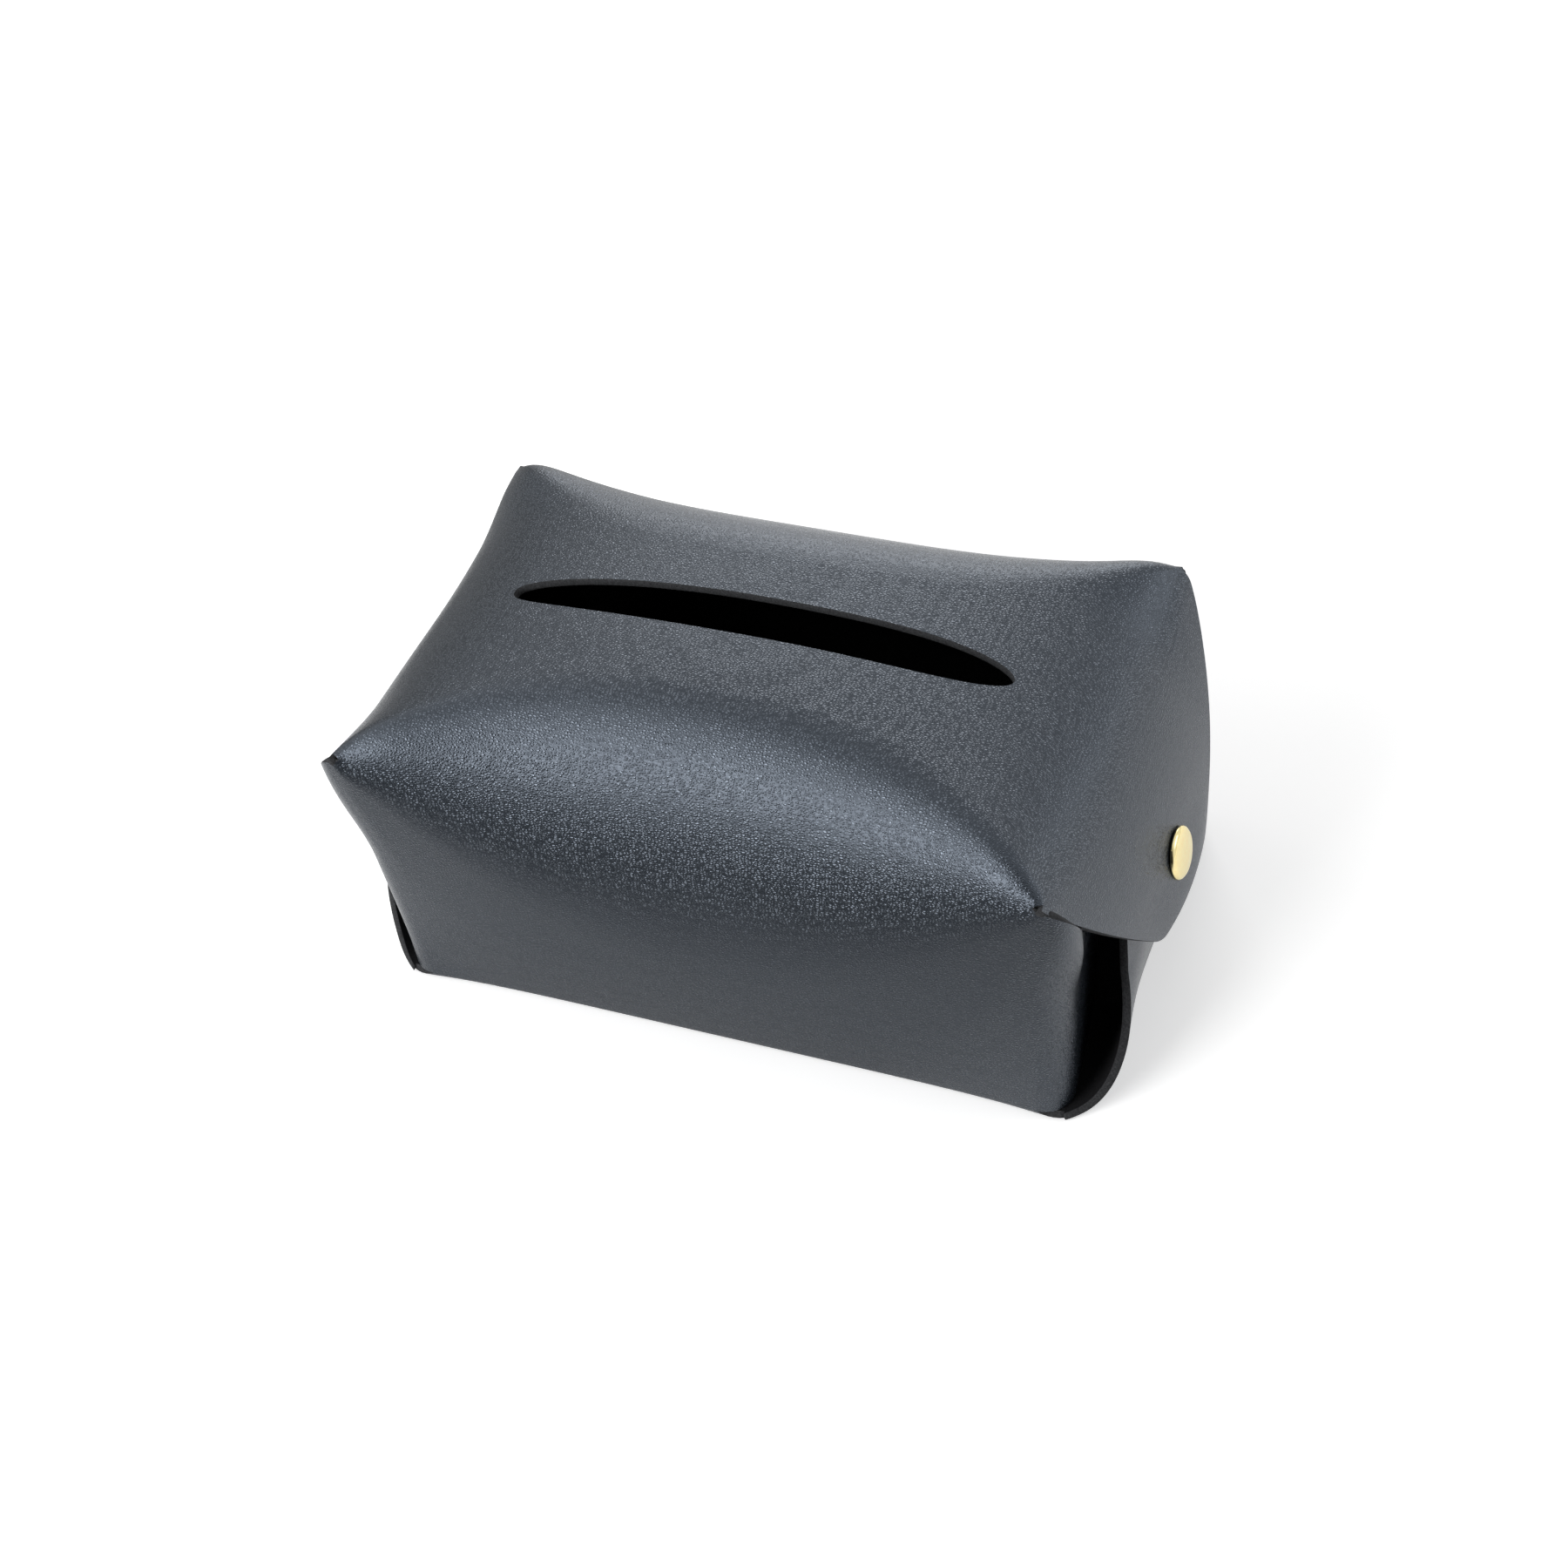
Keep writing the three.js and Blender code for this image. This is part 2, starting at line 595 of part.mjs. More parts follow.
// The two ends mirror each other.
for (const [name, end] of [["right", 1], ["left", -1]]) {
  const topTongue = cut(sheetLoft(tongueRows(end)), holeTool(holeRadius, end));
  const lowerTongue = cut(sheetLoft(lowerRows(end)), holeTool(postHoleRadius, end));
  tissueBox.add(
    piece(`top_tongue_${name}`, topTongue, LEATHER),
    piece(`lower_tongue_${name}`, lowerTongue, LEATHER),
    piece(`side_flap_front_${name}`, flapSolid(1, end), LEATHER),
    piece(`side_flap_back_${name}`, flapSolid(-1, end), LEATHER),
    onSnapAxis(piece(`snap_cap_${name}`, capShape, GOLD), end),
    onSnapAxis(piece(`snap_socket_${name}`, socketShape, GOLD), end),
    onSnapAxis(piece(`snap_stud_${name}`, studShape, GOLD), end),
    onSnapAxis(piece(`snap_post_${name}`, postShape, GOLD), end),
  );
}

export default tissueBox;
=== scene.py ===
# A tissue box folded from one sheet of black leather, closed by a gold snap at each end.
# Lengths in the formulas are millimetres: +X runs along the slit, -Y is the front, +Z is up.
import math
import bpy
import numpy as np
from mathutils import Matrix, Vector


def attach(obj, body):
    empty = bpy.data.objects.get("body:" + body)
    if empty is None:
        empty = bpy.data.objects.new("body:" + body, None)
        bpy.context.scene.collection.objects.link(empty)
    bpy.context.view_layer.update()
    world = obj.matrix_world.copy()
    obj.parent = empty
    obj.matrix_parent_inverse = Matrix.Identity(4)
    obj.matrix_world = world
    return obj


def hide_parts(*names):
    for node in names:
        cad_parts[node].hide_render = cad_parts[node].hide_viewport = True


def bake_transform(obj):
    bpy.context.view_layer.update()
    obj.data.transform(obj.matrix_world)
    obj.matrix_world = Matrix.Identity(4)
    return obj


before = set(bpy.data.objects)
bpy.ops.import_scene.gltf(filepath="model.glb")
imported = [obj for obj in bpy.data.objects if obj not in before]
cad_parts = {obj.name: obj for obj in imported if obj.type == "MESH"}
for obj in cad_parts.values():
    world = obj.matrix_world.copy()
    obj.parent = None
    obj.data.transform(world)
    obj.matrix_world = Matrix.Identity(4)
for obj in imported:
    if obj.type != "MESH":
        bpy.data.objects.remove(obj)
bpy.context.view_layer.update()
MM = 0.001
ENDS = (("right", 1), ("left", -1))
SIDES = (("front", -1), ("back", 1))

# Camera

CAMERA_AZIMUTH = math.radians(29.73)
CAMERA_ELEVATION = math.radians(46.55)
CAMERA_ROLL = math.radians(-11.17)
CAMERA_DISTANCE = 0.75108
CAMERA_TARGET = Vector((0, 0, 0.0264))
CAMERA_SHIFT = (-0.00334, 0.02208)
CAMERA_LENS, CAMERA_SENSOR = 70, 36
CAMERA_NEAR = 0.01


def place_camera():
    """Looks at the target from an azimuth and elevation, turned about the view's own axis by the roll."""
    a, e, r = CAMERA_AZIMUTH, CAMERA_ELEVATION, CAMERA_ROLL
    back = Vector((math.sin(a) * math.cos(e), -math.cos(a) * math.cos(e), math.sin(e)))
    level = Vector((math.cos(a), math.sin(a), 0))
    rise = back.cross(level)
    right = math.cos(r) * level + math.sin(r) * rise
    up = math.cos(r) * rise - math.sin(r) * level
    data = bpy.data.cameras.new("camera")
    data.lens, data.sensor_width = CAMERA_LENS, CAMERA_SENSOR
    data.shift_x, data.shift_y = CAMERA_SHIFT
    data.clip_start = CAMERA_NEAR
    camera = bpy.data.objects.new("camera", data)
    bpy.context.scene.collection.objects.link(camera)
    turn = Matrix((right, up, back)).transposed().to_4x4()
    camera.matrix_world = Matrix.Translation(CAMERA_TARGET + back * CAMERA_DISTANCE) @ turn
    bpy.context.scene.camera = camera


place_camera()

# Driving numbers of the folded sheet

SHEET = 2.0
EAR = np.array([88.0, 54.0, 77.3])
FOOT = (86.4, 50.6)
CREST_Z, CREST_FLAT = 94.0, 44.0
CREST_END = np.array([83.6, 79.2])
CREST_TURN, BRANCH_SHARE = np.array([13.5, -8.6]), 0.62
SHOULDER_RISE, SHOULDER_POWER = 12.5, 7
ROLL_MID, ROLL_EAR, ROLL_POWER = 32.0, 1.6, 0.8
SEAM_BOW, SEAM_BOW_POWER = 0.115, 8
FOLD_SHARE, EAR_FOLD_SHARE = 0.3, 0.05
SLIT_HALF_LENGTH, SLIT_HALF_WIDTH, SLIT_SHIFT = 63.0, 6.5, 1.8
BASE_FOLD = 2.4
WALL_FOOT_OUT = 0.1
WALL_SPREAD_START, WALL_SPREAD = 0.55, 0.45
BACK_FOOT_Z = 0.4
SEAM_FLAP_HEIGHT, SEAM_FLAP_HALF_LENGTH = 28.0, 76.0
SEAM_FLAP_Y, SEAM_FLAP_LEAN = 48.2, 0.985

# The top tongue
TIP = np.array([101.0, 17.9, 31.0])
TIP_BULGE = (2.3, 1.5)
TIP_HANDLE = np.array([0.7, -22.0])
TIP_RADIUS = 2.5
TIP_BOW, TIP_BOW_SPAN = np.array([1.3, 0.0, -1.2]), 0.25
BACK_ROOT_TUCK, ROOT_TUCK_END = 0.018, 0.08

# The lower tongue
LOWER_TOP_Z, LOWER_STRAIGHT_Z = 52.0, 33.0
LOWER_TIP_Y, LOWER_TAPER_POWER, LOWER_TIP_RADIUS = 18.5, 1.25, 6.0
LOWER_FOOT_HANDLE = np.array([7.9, 1.0])
LOWER_RISE_HANDLE = 19.0
LOWER_FACE, SNAP_Z = -5.6, 42.2
LOWER_SLACK, FLARE_SHARE = 2.2, 0.62
FOOT_TUCK_SHARE = 0.3

# The upright folds and the side flaps
CORNER_FOOT_X, CORNER_RADIUS = 86.9, 7.5
FLAP_WIDTH = 27.0
FLAP_LEAN = math.radians(8)
FLAP_FALL_POWER = (1.7, 1.5)
FLAP_FOOT_RISE = 3.0
FLAP_SUNK_Z, FLAP_SUNK_REACH, FLAP_SUNK_RUN = 46, 20, 0.25
FOLD_POINT = np.array([84.247, 47.758, 4.3])
FOLD_AXIS = np.array([0.02971, 0.04257, 0.99865])

# Pairs that hold the front's value and then the back's
WALL_REACH_SHARE = (1.9, 1.45)
HANDLE_SHARE = (0.56, 0.62)
NICK, NICK_POWER = (2.2, 0.0), 40
CORNER_TOP_X = (90.5, 88.8)
CORNER_TIP_RADIUS = (6.0, 0.9)
CORNER_TAPER = ((44, 32), (34, 42))
FLAP_FALL = ((10.8, 8.0), (1.0, 17.0))
FLAP_SUNK = (2.5, 0.0)
FLAP_LIFT = (0.3, 2.0)
LOWER_FLARE = (1.8, -1.8)
FOOT_TUCK = (1.6, 2.2)

# The two powers of the slit's left end and then of its right end
SLIT_SHAPE = ((2.0, 0.36), (5.0, 0.5))

# Counts of stations and rows, and the small steps used for slopes and for ghost rows
LENS_STATIONS, REST_STATIONS, REST_POWER, FINE_STATIONS = 74, 19, 0.9, 4001
TOP_ROWS, WALL_ROWS, ROLL_ROWS = 27, 25, 19
STRIP_ROWS, FOLD_ROWS, BASE_ROWS = 8, 6, 18
TONGUE_ROWS, TONGUE_STATIONS = 50, 81
LOWER_ROWS, LOWER_STATIONS, PATH_STATIONS = 64, 71, 2001
TIP_ROWS = 10
EDGE_CROWDING = 0.35
FLAP_ROWS, WRAP_STATIONS, FLAP_STATIONS = 49, 11, 17
SNAP_STEPS = 72
TINY = 1e-3
GHOST_STEP = 0.004


def smooth(t):
    """Eases from 0 to 1: 3 t squared less 2 t cubed, held at its ends."""
    t = np.clip(t, 0, 1)
    return t * t * (3 - 2 * t)


def bezier(t, a, b, c, d):
    """Cubic Bezier curve through a and d with handles b and c, at the shares t (last axis is x, y, z)."""
    t = np.asarray(t, float)[..., None]
    return (1 - t) ** 3 * a + 3 * (1 - t) ** 2 * t * b + 3 * (1 - t) * t * t * c + t**3 * d


def crest(s):
    """Middle line (x, z) of the top: one Bezier from the slit's middle (s 0) to the fold (s 1), and one
    on to the tongue's tip (s 2)."""
    flat = np.array([CREST_FLAT, CREST_Z])
    top = bezier(np.clip(s, 0, 1), np.array([0, CREST_Z]), flat, CREST_END - CREST_TURN, CREST_END)
    tip = TIP[[0, 2]]
    branch = CREST_END + CREST_TURN * BRANCH_SHARE
    end = bezier(np.clip(s - 1, 0, 1), CREST_END, branch, tip - TIP_HANDLE, tip)
    return np.where((s <= 1)[..., None], top, end)


def edge(s, b):
    """Long edge of the top up to the ear, then the tongue's side edge.
    The share past the ear, s - 1, is eased in over a stretch that widens with 1 - b squared."""
    soft = FOLD_SHARE * np.clip(1 - b * b, 0, 1) + EAR_FOLD_SHARE
    past = s - 1
    down = np.where(np.abs(past) < soft, (past + soft) ** 2 / (4 * soft), np.maximum(past, 0))
    along = s - down
    bow = np.sin(np.pi * np.clip(down, 0, 1))
    x = EAR[0] * along + (TIP[0] - EAR[0]) * down + TIP_BULGE[0] * bow
    y = EAR[1] + (TIP[1] - EAR[1]) * down + TIP_BULGE[1] * bow
    z = EAR[2] + SHOULDER_RISE * (1 - np.abs(along) ** SHOULDER_POWER) + (TIP[2] - EAR[2]) * down
    return np.stack([x, y, z], -1)


def arch(s, b):
    """Arched surface: from the edge at b = -1 or 1 it lifts to the crest by 1 - b squared."""
    e, c = edge(s, b), crest(s)
    lift = 1 - b * b
    x = e[..., 0] + (c[..., 0] - e[..., 0]) * lift
    z = e[..., 2] + (c[..., 1] - e[..., 2]) * lift
    return np.stack([x, e[..., 1] * b, z], -1)


def top_arch(s, b):
    """The arch, with its end stations bowed out to the straight fold line between two ears."""
    return arch(s + SEAM_BOW * (1 - b * b) * np.abs(s) ** SEAM_BOW_POWER, b)


def roll_foot(s, back=False):
    """Top of the wall: the point where the roll starts, a drop below the shoulder, with the wall's slope
    there, the roll's reach across the top and that drop."""
    shoulder = edge(s, np.ones_like(s)) * [1, -1, 1]
    foot = np.stack([FOOT[0] * s, np.full_like(s, -FOOT[1]), np.zeros_like(s)], -1)
    up = shoulder - foot
    up /= np.linalg.norm(up, axis=-1, keepdims=True)
    reach = ROLL_EAR + (ROLL_MID - ROLL_EAR) * np.clip(1 - s * s, 0, 1) ** ROLL_POWER
    drop = reach + ROLL_MID * (WALL_REACH_SHARE[back] - 1) * (reach - ROLL_EAR) / (ROLL_MID - ROLL_EAR)
    return shoulder - up * drop[..., None], up, reach, drop


def landing(s):
    """Where the roll meets the arch, as a share across."""
    return roll_foot(s)[2] / EAR[1] - 1


def roll(s, t, back=False):
    """Soft roll from the wall (t 0) to the arch (t 1), a Bezier along both slopes. Towards the front ear
    its middle draws back by a nick: NICK times a half sine across, times s to NICK_POWER."""
    start, up, reach, drop = roll_foot(s, back)
    b = landing(s)
    end = top_arch(s, b)
    slope = end - top_arch(s, b - TINY)
    slope /= np.linalg.norm(slope, axis=-1, keepdims=True)
    rise, run = (drop * HANDLE_SHARE[back])[..., None], (reach * HANDLE_SHARE[back])[..., None]
    point = bezier(t, start, start + up * rise, end - slope * run, end)
    point[..., 0] -= NICK[back] * np.sin(np.pi * np.clip(t, 0, 1)) * np.minimum(s, 1) ** NICK_POWER
    return point


def slit_lip(x):
    """Half width of the slit at x: 1 less the share along to a power, to a second power; each end has its
    own pair of powers."""
    share = np.clip(np.abs(x) / SLIT_HALF_LENGTH, 0, 1)
    ends = [np.clip(1 - share**n, 0, 1) ** power for n, power in SLIT_SHAPE]
    return SLIT_HALF_WIDTH * np.where(x < 0, *ends)


def corner_x(z, back=False):
    """How far along the box the upright fold reaches, with a straight lean."""
    return CORNER_FOOT_X + (CORNER_TOP_X[back] - CORNER_FOOT_X) * z / EAR[2]


def corner_radius(z, back=False):
    """The upright fold tightens towards the ear, a little at the front and to a point at the back."""
    start, reach = CORNER_TAPER[back]
    return CORNER_RADIUS + (CORNER_TIP_RADIUS[back] - CORNER_RADIUS) * smooth((z - start) / reach)


def wall(s, h, back=False):
    """Front wall from its fold with the base (h 0) to the roll's foot (h 1), straight between the two.
    Its ends stand back from the upright fold's line by the fold's radius, and spread to the roll's over
    the top part."""
    foot = roll_foot(s, back)[0]
    low = np.array([0, -FOOT[1] - WALL_FOOT_OUT, BASE_FOLD])
    z = low[2] + (foot[..., 2] - low[2]) * h
    y = low[1] + (foot[..., 1] - low[1]) * h
    plain = s * (corner_x(z, back) - corner_radius(z, back))
    x = plain + (foot[..., 0] - plain) * smooth((h - WALL_SPREAD_START) / WALL_SPREAD)
    return np.stack([x, y, z], -1)


def base_fold(s, t):
    """Quarter round from the base (t 0) to the wall (t 1)."""
    angle = t * np.pi / 2
    top = wall(np.abs(s), np.zeros_like(t))
    x = np.sign(s) * (FOOT[0] * np.abs(s) + (top[..., 0] - FOOT[0] * np.abs(s)) * t)
    y = top[..., 1] + BASE_FOLD * (1 - np.sin(angle))
    return np.stack([x, y, BASE_FOLD * (1 - np.cos(angle))], -1)


def signed(surface, s, t, back=False):
    """A surface of |s| carried to both ends of the box, and to the back wall if asked."""
    point = surface(np.abs(s), t, back) if back else surface(np.abs(s), t)
    side = np.full_like(s, -1.0 if back else 1.0)
    return point * np.stack([np.where(s < 0, -1.0, 1.0), side, np.ones_like(s)], -1)


# How the plain folded shape settles; EAR_LIFT holds the right end's front and back, then the left end's

WALL_BULGE, BULGE_TOP = 2.0, 88.0
BULGE_SCALE = 6.75
FOOT_FLARE, FOOT_FLARE_TOP = 2.4, 30.0
END_POWER = 6
EAR_LIFT, EAR_LIFT_REACH, EAR_LIFT_START = ((0.0, 4.4), (2.2, 3.2)), 15.0, 28.0
BACK_RISE, BACK_RISE_X, BACK_RISE_REACH = 2.5, 0.0, 60.0
LEFT_EAR_PULL, EAR_REACH = 0.5, 18.0
LEFT_FOLD_SINK, LEFT_FOLD_Y, LEFT_FOLD_REACH = 1.8, 10.0, 28.0
LEFT_FOLD_X, LEFT_FOLD_Z = (60, 25), (55, 22)
BASE_CORNER, BASE_CORNER_RISE, BASE_CORNER_FADE = 8.0, 0.7, 16.0
BASE_CORNER_LIMIT, BASE_CORNER_POWER = (1.3, 1.1), 1.7
BACK_EAR_ROUND, BACK_EAR_SOFT = (1.5, 0.6), 7.0
LEFT_FOOT_PULL, LEFT_FOOT_SPOT, LEFT_FOOT_REACH = 2.2, (-96.0, 9.0), (8.0, 12.0)


def hill(value, top, reach):
    """A smooth hill of height 1: e to the minus square of the distance from its top over its reach."""
    return np.exp(-(((value - top) / reach) ** 2))


def settle(points):
    """Lets the plain folded shape settle as soft leather does, by amounts that fade with smooth hills and
    steps. The walls belly out by WALL_BULGE at a third of BULGE_TOP, by h times (1 - h) squared of the
    height share h, and flare at the foot of both ends by x to END_POWER. The back's shoulder rises, ears
    stand up by EAR_LIFT, and the back ones draw in along their diagonal. The left end's fold and foot
    draw in, its ears out, and the base's corners round up."""
    x, y, z = np.moveaxis(points, -1, 0)
    high, rear = smooth(z / EAR[2]), smooth(y / EAR[1])
    h = np.clip(z / BULGE_TOP, 0, 1)
    inner = 1 - np.clip(np.abs(x) / EAR[0], 0, 1) ** END_POWER
    belly = WALL_BULGE * BULGE_SCALE * h * (1 - h) ** 2 * inner
    outer = np.clip(np.abs(x) / FOOT[0], 0, 1) ** END_POWER
    flare = FOOT_FLARE * outer * np.clip(1 - z / FOOT_FLARE_TOP, 0, 1) ** 2
    depth = y + np.sign(y) * (belly + flare) * smooth(np.abs(y) / EAR[1])
    lift = np.where(x < 0, np.where(y < 0, *EAR_LIFT[1]), np.where(y < 0, *EAR_LIFT[0]))
    aside = smooth((np.abs(y) - EAR_LIFT_START) / (EAR[1] - EAR_LIFT_START))
    ears = lift * hill(np.abs(x), EAR[0], EAR_LIFT_REACH) * aside
    shoulder = BACK_RISE * hill(x, BACK_RISE_X, BACK_RISE_REACH)
    u = np.clip((np.abs(x) - FOOT[0] + BASE_CORNER) / BASE_CORNER, 0, BASE_CORNER_LIMIT[0])
    w = np.clip((np.abs(y) - FOOT[1] + BASE_CORNER) / BASE_CORNER, 0, BASE_CORNER_LIMIT[1])
    low = np.clip(1 - z / BASE_CORNER_FADE, 0, 1) ** 2
    corner = BASE_CORNER_RISE * (u * w) ** BASE_CORNER_POWER * low
    at_ear = hill(x, -EAR[0], EAR_REACH) * hill(np.abs(y), EAR[1], EAR_REACH) * hill(z, EAR[2], EAR_REACH)
    at_left = smooth((-x - LEFT_FOLD_X[0]) / LEFT_FOLD_X[1])
    at_fold = smooth((z - LEFT_FOLD_Z[0]) / LEFT_FOLD_Z[1])
    sink = LEFT_FOLD_SINK * hill(y, LEFT_FOLD_Y, LEFT_FOLD_REACH) * at_left * at_fold
    tuck = hill(x, LEFT_FOOT_SPOT[0], LEFT_FOOT_REACH[0]) * hill(z, LEFT_FOOT_SPOT[1], LEFT_FOOT_REACH[1])
    pull = LEFT_EAR_PULL * at_ear - sink - LEFT_FOOT_PULL * tuck * smooth(-y / FOOT[1])
    ear = np.stack([np.where(x < 0, -EAR[0], EAR[0]), np.full_like(x, EAR[1]), np.full_like(x, EAR[2])], -1)
    away = np.linalg.norm(points - ear, axis=-1)
    near = np.where(x < 0, *BACK_EAR_ROUND) / math.sqrt(3) * hill(away, 0, BACK_EAR_SOFT)
    width = x - pull - np.sign(x) * near
    height = z + ears * high + shoulder * rear * high + corner - near
    return np.stack([width, depth - near, height], -1)


# Meshes of sheet: points closer than 1 / WELD_STEPS mm are joined

WELD_STEPS = 500
EDGE_ROWS, EDGE_BULGE, EDGE_POWER = 5, 0.22, 4
NEARLY_NOTHING = 1e-12


class Sheet:
    """Quads of a sheet's grain side, gathered from grids. Ghost quads only lend their slope to a shared
    edge."""

    def __init__(self):
        self.points, self.quads, self.ghost, self.count = [], [], [], 0

    def add(self, grid, ghost=False, flip=False):
        """Adds a grid of points, two axes of stations, once it has settled; flip turns its faces over."""
        rows, columns = grid.shape[:2]
        index = np.arange(rows * columns).reshape(rows, columns) + self.count
        quads = np.stack([index[:-1, :-1], index[1:, :-1], index[1:, 1:], index[:-1, 1:]], -1).reshape(-1, 4)
        self.points.append(settle(grid).reshape(-1, 3))
        self.quads.append(quads[:, ::-1] if flip else quads)
        self.ghost.append(np.full(len(quads), ghost))
        self.count += rows * columns

    def weld(self):
        """Joins points that lie together, and returns points, quads and the grain side's slope at each
        point."""
        points = np.concatenate(self.points)
        places = np.round(points * WELD_STEPS).astype(np.int64)
        _, first, index = np.unique(places, axis=0, return_index=True, return_inverse=True)
        points, quads = points[first], index.reshape(-1)[np.concatenate(self.quads)]
        ghost = np.concatenate(self.ghost)
        normals = face_slopes(points, quads)
        return points, quads[~ghost], normals


def face_slopes(points, quads):
    """Unit slope at each point: the sum of its faces' area vectors, half the cross product of their
    diagonals."""
    area = np.cross(points[quads[:, 2]] - points[quads[:, 0]], points[quads[:, 3]] - points[quads[:, 1]])
    total = np.zeros_like(points)
    for corner in range(4):
        np.add.at(total, quads[:, corner], area)
    return total / np.maximum(np.linalg.norm(total, axis=1, keepdims=True), NEARLY_NOTHING)


def thick(sheet, name):
    """Sheet of leather with its thickness: the back lies SHEET behind the grain side along its slope, and
    a cut edge of EDGE_ROWS rows between the two bulges out by EDGE_BULGE, times 1 less the way from its
    middle to EDGE_POWER."""
    points, quads, normals = sheet.weld()
    used, quads = np.unique(quads, return_inverse=True)
    quads = quads.reshape(-1, 4)
    points, normals = points[used], normals[used]
    count = len(points)
    start = quads.reshape(-1)
    stop = np.roll(quads, -1, axis=1).reshape(-1)
    rim = ~np.isin(start * count + stop, stop * count + start)
    start, stop = start[rim], stop[rim]
    rim_points, slot = np.unique(np.concatenate([start, stop]), return_inverse=True)
    slot_start, slot_stop = slot[: len(start)], slot[len(start):]
    outward = np.zeros((len(rim_points), 3))
    aside = np.cross(points[stop] - points[start], normals[start])
    np.add.at(outward, slot_start, aside)
    np.add.at(outward, slot_stop, aside)
    outward /= np.maximum(np.linalg.norm(outward, axis=1, keepdims=True), NEARLY_NOTHING)
    every = [points, points - normals * SHEET]
    layers = [rim_points]
    for row in range(1, EDGE_ROWS):
        t = row / EDGE_ROWS
        bulge = EDGE_BULGE * (1 - abs(2 * t - 1) ** EDGE_POWER)
        every.append(points[rim_points] - normals[rim_points] * SHEET * t + outward * bulge)
        layers.append(2 * count + (row - 1) * len(rim_points) + np.arange(len(rim_points)))
    layers.append(rim_points + count)
    every = np.concatenate(every)
    bands = []
    for upper, lower in zip(layers[:-1], layers[1:]):
        bands.append(np.stack([upper[slot_stop], upper[slot_start], lower[slot_start], lower[slot_stop]], -1))
    band = np.concatenate(bands)
    faces = np.concatenate([quads, quads[:, ::-1] + count, band])
    kinds = np.concatenate([np.zeros(len(quads)), np.full(len(quads), 2), np.ones(len(band))])
    slopes = np.concatenate([normals, -normals, np.zeros((len(every) - 2 * count, 3))])
    loop_slopes = slopes[faces]
    loop_slopes[len(quads) * 2:] = face_slopes(every, band)[band]
    return finish_mesh(name, every, faces, LEATHER, kinds.astype(np.int32), loop_slopes.reshape(-1, 3))


def finish_mesh(name, points, faces, materials, kinds=None, slopes=None):
    """Puts points (millimetres) and quads into a smooth-shaded mesh object in metres.
    A quad whose corner is the same point as its next one becomes a triangle."""
    kept = faces != np.roll(faces, -1, axis=1)
    corners = kept.sum(axis=1)
    mesh = bpy.data.meshes.new(name)
    mesh.vertices.add(len(points))
    mesh.vertices.foreach_set("co", (points * MM).astype(np.float32).ravel())
    mesh.loops.add(int(corners.sum()))
    mesh.loops.foreach_set("vertex_index", faces[kept].astype(np.int32))
    mesh.polygons.add(len(faces))
    mesh.polygons.foreach_set("loop_start", (np.cumsum(corners) - corners).astype(np.int32))
    for material in materials:
        mesh.materials.append(material)
    if kinds is not None:
        mesh.polygons.foreach_set("material_index", kinds)
    mesh.update(calc_edges=True)
    mesh.polygons.foreach_set("use_smooth", np.ones(len(faces), bool))
    if slopes is not None:
        mesh.normals_split_custom_set(slopes[kept.ravel()].tolist())
    mesh.validate()
    mesh.update()
    obj = bpy.data.objects.new(name, mesh)
    bpy.context.scene.collection.objects.link(obj)
    return obj


# Materials

def node_maker(tree):
    """A short way to add a node to a tree: its kind, the links into its sockets, and values for its
    sockets or settings."""
    def node(kind, links=(), **values):
        made = tree.nodes.new(kind)
        for key, value in values.items():
            if key in made.inputs:
                made.inputs[key].default_value = value
            else:
                setattr(made, key, value)
        for key, source in dict(links).items():
            tree.links.new(source, made.inputs[key])
        return made

    return node


def limits(start, stop, low, high):
    """The four limits of a map range: start to stop becomes low to high."""
    return {"From Min": start, "From Max": stop, "To Min": low, "To Max": high}


def material(name):
    """A node material with its Principled shader, a way to add nodes, and one to link and set the
    shader."""
    mat = bpy.data.materials.new(name)
    mat.use_nodes = True
    tree = mat.node_tree
    shader = tree.nodes["Principled BSDF"]

    def shade(links, values):
        for key, source in links.items():
            tree.links.new(source, shader.inputs[key])
        for key, value in values.items():
            shader.inputs[key].default_value = value

    return mat, node_maker(tree), shade


def ramp(made, stops):
    """Sets a colour ramp's two stops, each a place and a colour."""
    for element, (place, colour) in zip(made.color_ramp.elements, stops):
        element.position = place
        element.color = (*colour, 1)
    return made


GRAIN_SIZE = 0.0005
BLACK, WHITE = (0, 0, 0), (1, 1, 1)


